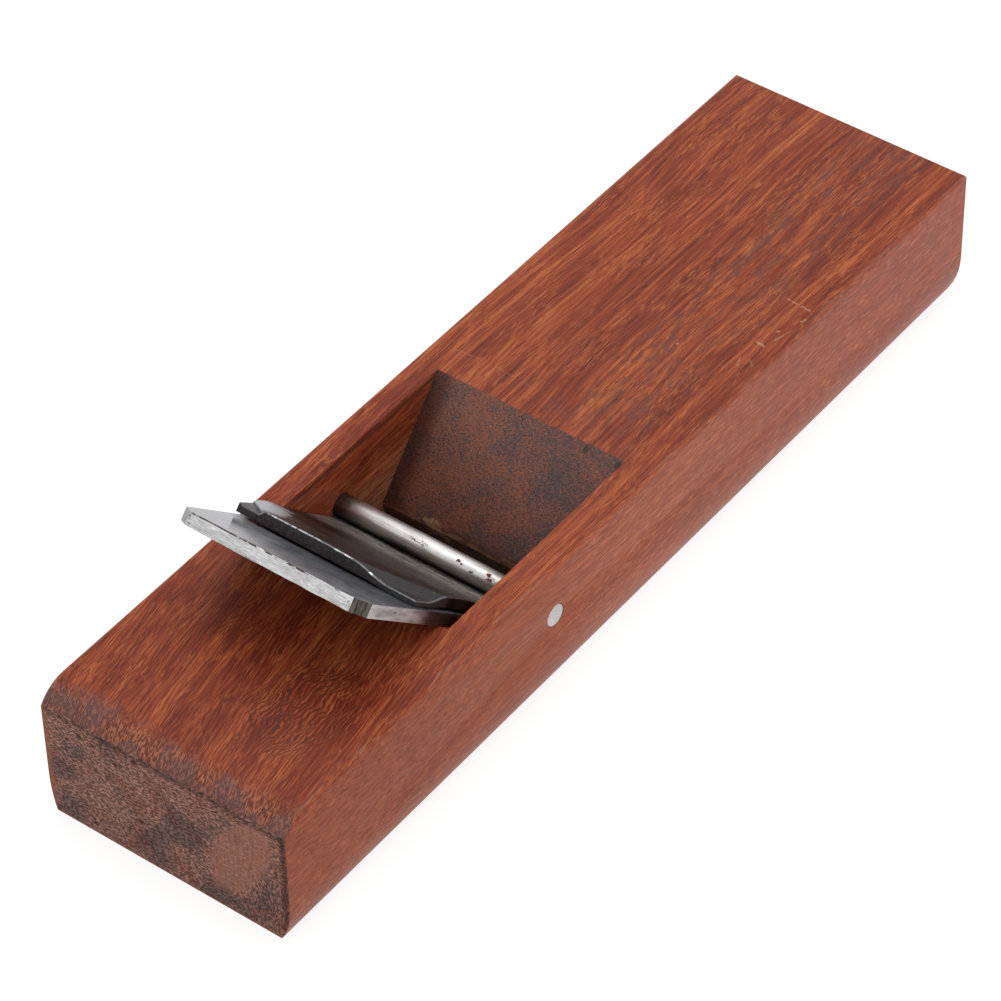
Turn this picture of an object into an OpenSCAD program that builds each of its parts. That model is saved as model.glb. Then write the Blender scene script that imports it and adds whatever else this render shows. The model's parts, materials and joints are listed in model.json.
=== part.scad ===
// Wooden pull plane: a hardwood block, a forge-welded iron, a chip breaker and a cross pin.
// X runs along the block from the tail, behind the iron, to the toe. Y points left and Z up.
// The origin lies on the sole, at the middle of the block. The plane cuts as it moves towards +X.

/* [Block] */
// Length of the block
body_len = 252; // [230:1:300]
// Width of the block
body_w = 65; // [60:0.5:80]
// Height of the block
body_h = 35.7; // [32:0.1:42]
// Radius of the softened edges along the top
top_edge_r = 1.2; // [0.5:0.1:3]
// Height over which the sides curve in towards the sole
sole_ease_h = 10.5; // [6:0.5:18]
// How far the right side curves in at the sole
right_ease_in = 2.7; // [0.5:0.1:4]
// How far the left side curves in at the sole
left_ease_in = 1.3; // [0.5:0.1:4]
// Length of the worn rounding at the tail, along the top
tail_round_len = 7.5; // [4:0.5:10]
// Drop of the worn rounding at the tail, down the end
tail_round_drop = 4; // [2:0.5:5]
// Radius of the other edges round the two ends
end_edge_r = 0.8; // [0.3:0.1:2]

/* [Mortise] */
// Distance from the toe end to the cutting line on the sole
toe_to_edge = 145.2; // [135:0.1:155]
// Angle of the bed above the sole
bed_angle = 42.5; // [38:0.5:45]
// Opening of the mouth in front of the cutting line
mouth_gap = 0.8; // [0.4:0.1:3]
// Height of the knee in the front wall, where the throat is narrowest
knee_h = 11; // [8:0.5:14]
// How far the knee leans back over the mouth
knee_back = 2; // [0.5:0.1:2.5]
// Angle of the front wall above the knee
front_angle = 49.5; // [46:0.5:60]
// How far the mortise lies to the left of the block's middle
mortise_shift = 0.35; // [-1.5:0.05:1.5]

/* [Iron] */
// Length of the iron along its flat face
iron_len = 90.8; // [80:0.1:100]
// Width of the iron
iron_w = 49; // [44:0.1:50]
// Thickness of the iron
iron_t = 3.1; // [2.5:0.1:4]
// Angle ground on the underside of the cutting edge
bevel_angle = 28; // [24:1:32]
// Size of the corners cut off the struck head
head_corner = 3; // [1:0.5:6]
// Length of the hard steel face, from the cutting edge
steel_len = 50; // [35:1:60]
// Thickness of the hard steel face
steel_t = 1; // [0.6:0.1:1.6]
// Depth of the hollow ground into the hard steel face
hollow_depth = 0.3; // [0.1:0.05:0.5]
// Width of the flat left around the hollow
hollow_land = 5; // [4:0.5:8]
// How far the cutting edge is drawn back up the bed from the sole
iron_retract = 0.4; // [0.1:0.1:1]

/* [Chip breaker] */
// Length of the chip breaker
breaker_len = 67.5; // [62:0.5:72]
// How much narrower the chip breaker is than the iron
breaker_narrower = 1.4; // [0:0.1:3]
// How far the chip breaker lies to the left of the iron's middle
breaker_shift = 0.6; // [-0.8:0.1:0.8]
// How far its front edge stays behind the cutting edge
breaker_setback = 0.8; // [0.7:0.1:2]
// Height of its top above the iron, under the pin
breaker_top = 2.6; // [2.2:0.1:3.2]
// Height of its top above the iron, at the thicker head
breaker_head_top = 3.3; // [3:0.1:4.5]
// Length of the thicker head
thick_len = 18; // [12:0.5:24]
// Length of the slope from the thicker head down to the part under the pin
thick_slope = 10; // [4:0.5:14]
// Space between the iron and the plate of the chip breaker
breaker_rise = 0.6; // [0.2:0.05:0.8]
// Length of the bent nose on its underside
nose_len = 9; // [5:0.5:14]
// Length over which its top thins towards the front edge
taper_len = 22; // [16:0.5:24]
// Height of the steep bevel at its front edge
lip_h = 0.7; // [0.4:0.05:1]
// Length of the right ear along the side
right_ear_along = 12; // [8:0.5:20]
// Width of the right ear along the head
right_ear_across = 17; // [8:0.5:20]
// Length of the left ear along the side
left_ear_along = 6; // [4:0.5:12]
// Width of the left ear along the head
left_ear_across = 6; // [4:0.5:12]
// Thickness that the corner of each ear is hammered down to
ear_t = 1.4; // [0.8:0.1:2]

/* [Cross pin] */
// Diameter of the cross pin
pin_d = 5.6; // [5:0.1:7]
// Depth of its middle below the top of the block
pin_below_top = 14.2; // [11:0.1:16]
// Size of the bevel round each end
pin_bevel = 0.3; // [0.1:0.05:0.6]

/* [Fit] */
// Space between the iron and the left wall of the mortise
left_clear = 0.4; // [0.3:0.1:2]
// Space between the iron and the right wall of the mortise
right_clear = 1.8; // [0.3:0.1:2.5]
// Running clearance between faces that slide on each other
slide_clear = 0.02; // [0.01:0.01:0.05]
// Clearance between the pin and the top of the chip breaker
pin_clear = 0.04; // [0.02:0.01:0.1]

/* [Hidden] */
$fn = 64;
arc_steps = 8;
past = 1;  // how far a cutting shape runs past the face that it cuts

// Where the cutting line meets the sole, with the iron set to just reach it
edge_x = body_len / 2 - toe_to_edge;
mortise_w = iron_w + left_clear + right_clear;
iron_y = mortise_shift + (right_clear - left_clear) / 2;

// Places in the bed's own frame: X runs down the bed to the cutting line, Z out of the iron's flat face
iron_edge_x = -iron_retract;
iron_head_x = iron_edge_x - iron_len;
steel_end_x = iron_edge_x - steel_len;
breaker_edge_x = iron_edge_x - breaker_setback;
breaker_head_x = breaker_edge_x - breaker_len;
breaker_w = iron_w - breaker_narrower;
pin_z_on_bed = breaker_top + pin_clear + pin_d / 2;

// The pin's middle in the block's frame
pin_z = body_h - pin_below_top;
pin_x_on_bed = (pin_z_on_bed * cos(bed_angle) - pin_z) / sin(bed_angle);
pin_x = edge_x + pin_x_on_bed * cos(bed_angle) + pin_z_on_bed * sin(bed_angle);

// Radius of the arc that is flat at one end and reaches "run" along by the time it has dropped by "drop"
function sagitta_r(run, drop) = (run * run + drop * drop) / (2 * drop);

// Points of an arc from angle a to angle b
function arc(x, y, r, a, b) = [for (i = [0:arc_steps])
    let (t = a + (b - a) * i / arc_steps) [x + r * cos(t), y + r * sin(t)]];

// The same outline on the other side of the vertical axis, in the order that closes the shape
function mirrored(points) = [for (i = [len(points) - 1:-1:0]) [-points[i][0], points[i][1]]];

// Extrudes a section drawn in X and Z along Y, centred on Y
module along_y(width) {
    rotate([90, 0, 0]) linear_extrude(width, center = true) children();
}

// Extrudes a section drawn in Y and Z along X, centred on X
module along_x(length) {
    rotate([90, 0, 90]) linear_extrude(length, center = true) children();
}

// Places its children in the bed's own frame
module on_bed() {
    translate([edge_x, iron_y, 0]) rotate([0, bed_angle, 0]) children();
}

// ---- Block ----

// Left half of an end view: soft top edge, side that curves in by ease_in at the sole
function half_end_view(ease_in) =
    let (ease_r = sagitta_r(sole_ease_h, ease_in))
    concat(
        arc(body_w / 2 - ease_r, sole_ease_h, ease_r, -asin(sole_ease_h / ease_r), 0),
        arc(body_w / 2 - top_edge_r, body_h - top_edge_r, top_edge_r, 0, 90));

// End view of the block, seen from the toe
module block_end_view() {
    polygon(concat(half_end_view(left_ease_in), mirrored(half_end_view(right_ease_in))));
}

// Side view of the block: worn rounding at the top of the tail, small radii elsewhere
module block_side_view() {
    tail_r = sagitta_r(tail_round_len, tail_round_drop);
    r = end_edge_r;
    x = body_len / 2;
    polygon(concat(
        arc(x - r, r, r, -90, 0),
        arc(x - r, body_h - r, r, 0, 90),
        arc(-x + tail_round_len, body_h - tail_r, tail_r, 90, 90 + asin(tail_round_len / tail_r)),
        arc(-x + r, r, r, 180, 270)));
}

// Top view of the block, with the four upright edges softened
module block_top_view() {
    r = end_edge_r;
    toe = concat(
        arc(body_len / 2 - r, -body_w / 2 + r, r, -90, 0),
        arc(body_len / 2 - r, body_w / 2 - r, r, 0, 90));
    polygon(concat(toe, mirrored(toe)));
}

// Side view of the mortise: bed, open mouth, knee and sloping front wall
module mortise_side_view() {
    bed_depth = iron_t + slide_clear;
    bed_foot = edge_x - bed_depth / sin(bed_angle);
    mouth_x = edge_x + mouth_gap;
    knee_x = mouth_x - knee_back;
    throat_slope = knee_back / knee_h;
    top_z = body_h + past;
    polygon([
        [bed_foot + past / tan(bed_angle), -past],
        [mouth_x + past * throat_slope, -past],
        [knee_x, knee_h],
        [knee_x + (top_z - knee_h) / tan(front_angle), top_z],
        [bed_foot - top_z / tan(bed_angle), top_z]]);
}

module body_block() {
    color("sienna")
    difference() {
        intersection() {
            along_x(body_len) block_end_view();
            along_y(body_w) block_side_view();
            linear_extrude(body_h) block_top_view();
        }
        translate([0, mortise_shift, 0]) along_y(mortise_w) mortise_side_view();
        translate([pin_x, 0, pin_z]) rotate([90, 0, 0])
            cylinder(d = pin_d, h = body_w + 2 * past, center = true);
    }
}

// ---- Cross pin ----

module pin_half() {
    cylinder(d = pin_d, h = body_w / 2 - pin_bevel);
    translate([0, 0, body_w / 2 - pin_bevel])
        cylinder(d1 = pin_d, d2 = pin_d - 2 * pin_bevel, h = pin_bevel);
}

module cross_pin() {
    color("silver")
    translate([pin_x, 0, pin_z]) rotate([90, 0, 0]) {
        pin_half();
        mirror([0, 0, 1]) pin_half();
    }
}

// ---- Iron ----

// Distance of the bevel behind the cutting edge, at a depth below the flat face
function bevel_run(depth) = depth / tan(bevel_angle);

// Soft iron back: full thickness at the head, let down to seat the hard steel face
module iron_back() {
    color("slategray")
    on_bed() difference() {
        along_y(iron_w) polygon([
            [iron_head_x, 0],
            [steel_end_x, 0],
            [steel_end_x, -steel_t],
            [iron_edge_x - bevel_run(steel_t), -steel_t],
            [iron_edge_x - bevel_run(iron_t), -iron_t],
            [iron_head_x, -iron_t]]);
        for (side = [-1, 1])
            translate([iron_head_x, side * iron_w / 2, -iron_t / 2]) rotate([0, 0, 45])
                cube([sqrt(2) * head_corner, sqrt(2) * head_corner, iron_t + 2 * past], center = true);
    }
}

// Hard steel face, forge-welded to the back, with the shallow hollow ground into it
module cutting_steel() {
    hollow_w = iron_w - 2 * hollow_land;
    hollow_r = sagitta_r(hollow_w / 2, hollow_depth);
    half_angle = asin(hollow_w / 2 / hollow_r);
    color("lightsteelblue")
    on_bed() difference() {
        along_y(iron_w) polygon([
            [iron_edge_x, 0],
            [steel_end_x, 0],
            [steel_end_x, -steel_t],
            [iron_edge_x - bevel_run(steel_t), -steel_t]]);
        translate([(iron_edge_x + steel_end_x) / 2, 0, 0])
            along_x(steel_len - 2 * hollow_land)
                polygon(concat(
                    arc(0, hollow_r - hollow_depth, hollow_r, -90 - half_angle, -90 + half_angle),
                    [[hollow_w / 2, past], [-hollow_w / 2, past]]));
    }
}

// ---- Chip breaker ----

// Side view of the plate: bent nose that meets the iron, thinned front, level top under the pin,
// thicker head
module breaker_side_view() {
    polygon([
        [breaker_edge_x, slide_clear],
        [breaker_edge_x - lip_h, slide_clear + lip_h],
        [breaker_edge_x - taper_len, breaker_top],
        [breaker_head_x + thick_len + thick_slope, breaker_top],
        [breaker_head_x + thick_len, breaker_head_top],
        [breaker_head_x, breaker_head_top],
        [breaker_head_x, breaker_rise],
        [breaker_edge_x - nose_len, breaker_rise]]);
}

// Places its children at one head corner of the plate: X runs along the side towards the nose and
// Y along the head towards the middle. side is 1 for the left corner and -1 for the right
module head_corner_of_breaker(side) {
    translate([breaker_head_x, side * breaker_w / 2, 0]) mirror([0, side > 0 ? 1 : 0, 0]) children();
}

// A slab hinged on an ear's crease, at height z, that tilts down by "drop" at the corner.
// It fills the space above the tilted plane, or below it
module hinged_slab(along, across, z, drop, above) {
    crease = norm([along, across]);
    tilt = atan(drop * crease / (along * across));
    reach = along + across;
    translate([along, 0, z]) rotate([0, 0, 180 - atan(across / along)]) rotate([-tilt, 0, 0])
        translate([-reach, 0, above ? 0 : -reach]) cube([crease + 2 * reach, reach, reach]);
}

// What bending an ear down takes off its top
module ear_top_cut(along, across) {
    hinged_slab(along, across, breaker_head_top, breaker_head_top - slide_clear - ear_t, true);
}

// What bending an ear down adds below the plate, until its corner rests on the iron
module ear_foot(along, across) {
    difference() {
        translate([0, 0, slide_clear]) linear_extrude(ear_t)
            polygon([[0, 0], [along, 0], [0, across]]);
        hinged_slab(along, across, breaker_rise, breaker_rise - slide_clear, false);
    }
}

module chip_breaker() {
    color("dimgray")
    on_bed() translate([0, breaker_shift, 0]) {
        difference() {
            along_y(breaker_w) breaker_side_view();
            head_corner_of_breaker(1) ear_top_cut(left_ear_along, left_ear_across);
            head_corner_of_breaker(-1) ear_top_cut(right_ear_along, right_ear_across);
        }
        head_corner_of_breaker(1) ear_foot(left_ear_along, left_ear_across);
        head_corner_of_breaker(-1) ear_foot(right_ear_along, right_ear_across);
    }
}

body_block();
cross_pin();
iron_back();
cutting_steel();
chip_breaker();
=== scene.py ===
"""Looks of the wooden pull plane: hardwood block, cross pin, laminated iron and chip breaker.

Everything is in metres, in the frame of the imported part: X runs from the tail to the toe, Y to
the left and Z up from the sole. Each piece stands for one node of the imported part.
"""

import json
import logging
import math
from collections.abc import Callable, Sequence
from dataclasses import dataclass, field
from enum import Enum

import bmesh
import bpy
from mathutils import Matrix, Vector, noise

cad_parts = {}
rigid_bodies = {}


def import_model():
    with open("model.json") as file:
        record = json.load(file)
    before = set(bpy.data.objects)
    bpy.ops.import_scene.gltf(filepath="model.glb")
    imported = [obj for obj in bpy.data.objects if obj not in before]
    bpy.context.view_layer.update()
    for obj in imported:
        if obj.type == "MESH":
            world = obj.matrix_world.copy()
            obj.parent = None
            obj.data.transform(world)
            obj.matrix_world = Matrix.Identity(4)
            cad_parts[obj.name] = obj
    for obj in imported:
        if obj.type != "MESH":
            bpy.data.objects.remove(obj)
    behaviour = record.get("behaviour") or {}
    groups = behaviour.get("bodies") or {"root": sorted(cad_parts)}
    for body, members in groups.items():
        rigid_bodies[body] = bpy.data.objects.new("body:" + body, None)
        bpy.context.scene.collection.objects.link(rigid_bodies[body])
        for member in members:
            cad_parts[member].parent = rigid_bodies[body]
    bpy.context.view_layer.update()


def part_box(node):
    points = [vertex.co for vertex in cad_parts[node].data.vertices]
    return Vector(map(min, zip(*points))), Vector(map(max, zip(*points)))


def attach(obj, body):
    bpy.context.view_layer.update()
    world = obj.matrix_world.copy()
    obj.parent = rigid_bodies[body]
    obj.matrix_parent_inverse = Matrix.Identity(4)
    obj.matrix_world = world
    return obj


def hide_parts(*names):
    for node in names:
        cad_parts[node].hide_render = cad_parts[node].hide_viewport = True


logging.basicConfig(level=logging.INFO, format="%(message)s")
LOG = logging.getLogger("pull_plane")

MM = 0.001
TINY = 1e-6
DOUBLES = 1e-7
IN_MM = (1000, 1000, 1000)
Colour = tuple[float, float, float]


# ---------------------------------------------------------------------------------------------
# The bench: modelling tools
# ---------------------------------------------------------------------------------------------


class Domain(Enum):
    """What a selection in edit mode is made of."""

    POINTS = (True, False, False)
    EDGES = (False, True, False)
    FACES = (False, False, True)


def deselect_all() -> None:
    """Leaves nothing selected and no object in edit mode."""
    if bpy.context.object and bpy.context.object.mode != "OBJECT":
        bpy.ops.object.mode_set(mode="OBJECT")
    for obj in bpy.context.view_layer.objects:
        obj.select_set(False)


class Workpiece:
    """One mesh on the bench, with the tools that shape it."""

    def __init__(self, name: str) -> None:
        """Takes the object that a primitive operator has just added.

        Args:
            name: Name of the piece.
        """
        self.obj: bpy.types.Object = bpy.context.object
        self.obj.name = name
        self.obj.data.name = name

    # -- starts --

    @classmethod
    def cuboid(cls, name: str, low: Sequence[float], high: Sequence[float]) -> "Workpiece":
        """Starts from a cube that fills a box.

        Args:
            name: Name of the piece.
            low: Lowest corner of the box.
            high: Highest corner of the box.

        Returns:
            The new workpiece.
        """
        deselect_all()
        low, high = Vector(low), Vector(high)
        bpy.ops.mesh.primitive_cube_add(size=1, location=(low + high) / 2, scale=high - low)
        piece = cls(name)
        piece.settle()
        return piece

    @classmethod
    def rod(
        cls, name: str, centre: Sequence[float], radius: float, length: float, sides: int
    ) -> "Workpiece":
        """Starts from a cylinder that lies along Y.

        Args:
            name: Name of the piece.
            centre: Middle of the rod.
            radius: Radius of the rod.
            length: Length of the rod.
            sides: Number of flats round it.

        Returns:
            The new workpiece.
        """
        deselect_all()
        bpy.ops.mesh.primitive_cylinder_add(
            vertices=sides,
            radius=radius,
            depth=length,
            end_fill_type="NGON",
            location=centre,
            rotation=(math.pi / 2, 0, 0),
        )
        piece = cls(name)
        piece.settle()
        return piece

    @classmethod
    def slab(
        cls, name: str, low: Sequence[float], high: Sequence[float], cells: tuple[int, int]
    ) -> "Workpiece":
        """Starts from a flat grid that is extruded upwards into a closed slab.

        Args:
            name: Name of the piece.
            low: Lowest corner of the slab.
            high: Highest corner of the slab.
            cells: Number of cells along X and Y.

        Returns:
            The new workpiece.
        """
        deselect_all()
        low, high = Vector(low), Vector(high)
        bpy.ops.mesh.primitive_grid_add(
            x_subdivisions=cells[0],
            y_subdivisions=cells[1],
            size=1,
            location=((low.x + high.x) / 2, (low.y + high.y) / 2, low.z),
        )
        piece = cls(name)
        piece.obj.scale = (high.x - low.x, high.y - low.y, 1)
        piece.settle()
        with piece.editing():
            bpy.ops.mesh.select_all(action="SELECT")
            piece.extrude((0, 0, high.z - low.z))
        piece.face_outwards()
        return piece

    @classmethod
    def prism(
        cls, name: str, outline: Sequence[tuple[float, float]], low_y: float, high_y: float
    ) -> "Workpiece":
        """Starts from a disc whose points are moved to an outline in X and Z, then extruded along Y.

        Args:
            name: Name of the piece.
            outline: The outline's corners as (x, z), in order.
            low_y: Where the prism starts.
            high_y: Where it ends.

        Returns:
            The new workpiece.
        """
        deselect_all()
        bpy.ops.mesh.primitive_circle_add(vertices=len(outline), radius=MM, fill_type="NGON")
        piece = cls(name)
        with piece.editing():
            shape = bmesh.from_edit_mesh(piece.obj.data)
            ring = sorted(shape.verts, key=lambda p: math.atan2(p.co.y, p.co.x))
            for point, (x, z) in zip(ring, outline):
                point.co = (x, low_y, z)
            bmesh.update_edit_mesh(piece.obj.data)
            bpy.ops.mesh.select_all(action="SELECT")
            piece.extrude((0, high_y - low_y, 0))
        piece.face_outwards()
        return piece

    # -- modes --

    def settle(self) -> None:
        """Puts the object's place, turn and size into its mesh."""
        self.activate()
        bpy.ops.object.transform_apply(location=True, rotation=True, scale=True)

    def activate(self) -> None:
        """Makes this the one selected and active object."""
        deselect_all()
        self.obj.select_set(True)
        bpy.context.view_layer.objects.active = self.obj

    def editing(self) -> "EditMode":
        """Edit mode for a with block."""
        return EditMode(self)

    # -- selection, inside edit mode --

    def pick(self, domain: Domain, test: Callable[..., bool]) -> None:
        """Selects what passes a test.

        Args:
            domain: Whether points, edges or faces are picked.
            test: Called with a point's place, with an edge's two ends, or with a face's middle
                and normal.
        """
        bpy.context.tool_settings.mesh_select_mode = domain.value
        bpy.ops.mesh.select_all(action="DESELECT")
        shape = bmesh.from_edit_mesh(self.obj.data)
        if domain is Domain.POINTS:
            for point in shape.verts:
                point.select = test(point.co)
        elif domain is Domain.EDGES:
            for edge in shape.edges:
                edge.select = test(edge.verts[0].co, edge.verts[1].co)
        else:
            for face in shape.faces:
                face.select = test(face.calc_center_median(), face.normal)
        shape.select_flush_mode()
        bmesh.update_edit_mesh(self.obj.data)

    def slice(self, point: Sequence[float], normal: Sequence[float], clear: bool = False) -> None:
        """Cuts all faces along a plane.

        Args:
            point: A point on the plane.
            normal: The plane's normal.
            clear: Whether what lies on the normal's side is cut away and the cut filled.
        """
        bpy.ops.mesh.select_all(action="SELECT")
        bpy.ops.mesh.bisect(
            plane_co=point, plane_no=normal, use_fill=clear, clear_outer=clear, threshold=DOUBLES
        )

    def move(self, offset: Sequence[float]) -> None:
        """Moves what is selected."""
        bpy.ops.transform.translate(value=offset)

    def extrude(self, offset: Sequence[float]) -> None:
        """Extrudes the selected faces by an offset."""
        bpy.ops.mesh.extrude_region_move(TRANSFORM_OT_translate={"value": offset})

    def bevel(self, width: float, segments: int, material: int = -1) -> None:
        """Bevels the selected edges, and gives the new faces a material if one is named.

        Args:
            width: Width of the bevel.
            segments: Number of its steps.
            material: Slot of the new faces' material, or -1 for their neighbours'.
        """
        bpy.ops.mesh.bevel(
            offset=width, segments=segments, affect="EDGES", clamp_overlap=False, material=material
        )

    # -- whole-mesh tools, outside edit mode --

    def face_outwards(self) -> None:
        """Merges doubles and makes every face point outwards."""
        with self.editing():
            bpy.ops.mesh.select_all(action="SELECT")
            bpy.ops.mesh.remove_doubles(threshold=DOUBLES)
            bpy.ops.mesh.normals_make_consistent(inside=False)

    def apply(self, kind: str, **settings: object) -> None:
        """Adds a modifier and applies it at once.

        Args:
            kind: Type of the modifier.
            **settings: Values of its properties.
        """
        self.activate()
        modifier = self.obj.modifiers.new(kind.lower(), kind)
        for key, value in settings.items():
            setattr(modifier, key, value)
        bpy.ops.object.modifier_apply(modifier=modifier.name)

    def ease(self, width: float, segments: int, angle: float) -> None:
        """Bevels every edge that is sharper than an angle.

        Args:
            width: Width of the bevel.
            segments: Number of its steps.
            angle: The angle in degrees.
        """
        self.apply(
            "BEVEL", width=width, segments=segments, limit_method="ANGLE",
            angle_limit=math.radians(angle), use_clamp_overlap=True, harden_normals=False,
        )

    def subtract(self, cutter: "Workpiece") -> None:
        """Cuts another workpiece out of this one and throws that one away."""
        self.apply("BOOLEAN", operation="DIFFERENCE", solver="EXACT", object=cutter.obj)
        bpy.data.objects.remove(cutter.obj)

    def sculpt(self, push: Callable[[Vector], Vector]) -> None:
        """Moves each point to where a function puts it.

        Args:
            push: Gives a point's new place from its old one.
        """
        with self.editing():
            shape = bmesh.from_edit_mesh(self.obj.data)
            for point in shape.verts:
                point.co = push(point.co.copy())
            bmesh.update_edit_mesh(self.obj.data)

    def place(self, matrix: Matrix) -> None:
        """Turns and moves the piece, and puts that into its mesh."""
        self.obj.matrix_world = matrix
        self.settle()

    def shade(self, angle: float = 32.0) -> None:
        """Shades smooth over edges flatter than an angle in degrees."""
        self.activate()
        bpy.ops.object.shade_smooth_by_angle(angle=math.radians(angle))

    def dress(self, *materials: bpy.types.Material) -> None:
        """Gives the piece its materials, the first being the main one."""
        for material in materials:
            self.obj.data.materials.append(material)

    def stand_for(self, node: str, body: str, slot: str) -> None:
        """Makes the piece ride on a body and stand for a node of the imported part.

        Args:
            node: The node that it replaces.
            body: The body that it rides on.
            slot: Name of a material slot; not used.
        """
        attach(self.obj, body)
        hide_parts(node)
        LOG.info("%s: %d faces on %s", self.obj.name, len(self.obj.data.polygons), body)


class EditMode:
    """Edit mode on one workpiece, for a with block."""

    def __init__(self, piece: Workpiece) -> None:
        """Keeps the workpiece."""
        self.piece = piece

    def __enter__(self) -> Workpiece:
        """Enters edit mode.

        Returns:
            The workpiece.
        """
        self.piece.activate()
        bpy.ops.object.mode_set(mode="EDIT")
        return self.piece

    def __exit__(self, *reason: object) -> None:
        """Leaves edit mode."""
        bpy.ops.object.mode_set(mode="OBJECT")


def smooth_step(low: float, high: float, value: float) -> float:
    """0 at low and 1 at high, flat at both ends. low may be the larger of the two."""
    share = min(1.0, max(0.0, (value - low) / (high - low)))
    return share * share * (3 - 2 * share)


def ripple(place: Vector, length: float, seed: float) -> float:
    """Smooth random height between about -1 and 1.

    Args:
        place: Where it is read.
        length: Size of its bumps.
        seed: Which pattern is read.

    Returns:
        The height there.
    """
    return noise.noise(place / length + Vector((seed, seed * 1.7, seed * 0.3)))


# ---------------------------------------------------------------------------------------------
# The paint box: node trees
# ---------------------------------------------------------------------------------------------

Socket = bpy.types.NodeSocket


class Recipe:
    """Node tree of one material, written as short calls."""

    def __init__(self, name: str) -> None:
        """Makes an empty material.

        Args:
            name: Its name.
        """
        self.material = bpy.data.materials.new(name)
        self.material.use_nodes = True
        self.tree = self.material.node_tree
        self.tree.nodes.clear()

    def node(self, kind: str, **settings: object) -> bpy.types.Node:
        """Adds a node and sets its properties.

        Args:
            kind: Type of the node.
            settings: Its properties by name.

        Returns:
            The node.
        """
        made = self.tree.nodes.new(kind)
        for key, value in settings.items():
            setattr(made, key, value)
        return made

    def feed(self, socket: Socket, value: object) -> None:
        """Links a socket to an output, or types a value on it.

        Args:
            socket: The input.
            value: An output, a number, a vector or a colour.
        """
        if isinstance(value, bpy.types.NodeSocket):
            self.tree.links.new(value, socket)
        elif isinstance(value, tuple) and len(value) == 3 and socket.type == "RGBA":
            socket.default_value = (*value, 1.0)
        else:
            socket.default_value = value

    def place(
        self,
        scale: tuple[float, float, float] = (1, 1, 1),
        turn: tuple[float, float, float] = (0, 0, 0),
        shift: tuple[float, float, float] = (0, 0, 0),
        source: Socket | None = None,
    ) -> Socket:
        """Place on the object, scaled, then turned, then shifted.

        Args:
            scale: Factor along each axis.
            turn: Turn round each axis, in degrees.
            shift: Offset after the turn.
            source: What is mapped, or the object's own coordinates if left out.

        Returns:
            The mapped place.
        """
        if source is None:
            source = self.node("ShaderNodeTexCoord").outputs["Object"]
        mapping = self.node("ShaderNodeMapping")
        self.feed(mapping.inputs["Vector"], source)
        mapping.inputs["Scale"].default_value = scale
        mapping.inputs["Rotation"].default_value = tuple(math.radians(a) for a in turn)
        mapping.inputs["Location"].default_value = shift
        return mapping.outputs["Vector"]

    def noise(
        self, vector: Socket, detail: float = 2.0, rough: float = 0.5,
        distortion: float = 0.0, colour: bool = False,
    ) -> Socket:
        """Noise texture.

        Args:
            vector: Where it is read.
            detail: Number of finer layers.
            rough: Weight of the finer layers.
            distortion: How far it is distorted.
            colour: Whether the colour output is wanted.

        Returns:
            Its value or its colour.
        """
        made = self.node("ShaderNodeTexNoise")
        self.feed(made.inputs["Vector"], vector)
        made.inputs["Scale"].default_value = 1.0
        made.inputs["Detail"].default_value = detail
        made.inputs["Roughness"].default_value = rough
        made.inputs["Distortion"].default_value = distortion
        return made.outputs["Color" if colour else "Fac"]

    def mottle(
        self, source: Socket, spread: tuple[float, float, float], detail: float = 2.0,
        rough: float = 0.5, distortion: float = 0.0, turn: tuple[float, float, float] = (0, 0, 0),
        shift: tuple[float, float, float] = (0, 0, 0),
    ) -> Socket:
        """Noise read at a mapped place.

        Args:
            source: The place before it is mapped.
            spread: Factor along each axis.
            detail: Number of finer layers.
            rough: Weight of the finer layers.
            distortion: How far it is distorted.
            turn: Turn round each axis, in degrees.
            shift: Offset that gives another pattern.

        Returns:
            Its value.
        """
        return self.noise(self.place(spread, turn, shift, source), detail, rough, distortion)

    def cells(self, vector: Socket) -> Socket:
        """Distance to the nearest of a Voronoi texture's points.

        Args:
            vector: Where it is read.

        Returns:
            The distance.
        """
        made = self.node("ShaderNodeTexVoronoi", feature="F1")
        self.feed(made.inputs["Vector"], vector)
        made.inputs["Scale"].default_value = 1.0
        return made.outputs["Distance"]

    def math(self, kind: str, first: object, second: object = 0.0, clamp: bool = False) -> Socket:
        """Math node on two values.

        Args:
            kind: What it works out.
            first: The first value.
            second: The second value, for the kinds that use one.
            clamp: Whether the result is kept between 0 and 1.

        Returns:
            The result.
        """
        made = self.node("ShaderNodeMath", operation=kind, use_clamp=clamp)
        self.feed(made.inputs[0], first)
        self.feed(made.inputs[1], second)
        return made.outputs[0]

    def chain(self, kind: str, *values: object) -> Socket:
        """Works several values into one, two at a time.

        Args:
            kind: What each Math node works out.
            values: The values in their order.

        Returns:
            The result.
        """
        result = values[0]
        for value in values[1:]:
            result = self.math(kind, result, value)
        return result

    def times(self, *values: object) -> Socket:
        """Product of values."""
        return self.chain("MULTIPLY", *values)

    def total(self, *values: object) -> Socket:
        """Sum of values."""
        return self.chain("ADD", *values)

    def most(self, *values: object) -> Socket:
        """Largest of values."""
        return self.chain("MAXIMUM", *values)

    def size(self, value: object) -> Socket:
        """A value without its sign."""
        return self.math("ABSOLUTE", value)

    def vector(self, kind: str, first: object, second: object) -> Socket:
        """Vector Math node on two vectors.

        Args:
            kind: What it works out.
            first: The first vector.
            second: The second vector.

        Returns:
            The result, a vector or a number as the kind has it.
        """
        made = self.node("ShaderNodeVectorMath", operation=kind)
        self.feed(made.inputs[0], first)
        self.feed(made.inputs[1], second)
        return made.outputs["Value" if kind in ("DOT_PRODUCT", "DISTANCE", "LENGTH") else "Vector"]

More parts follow.
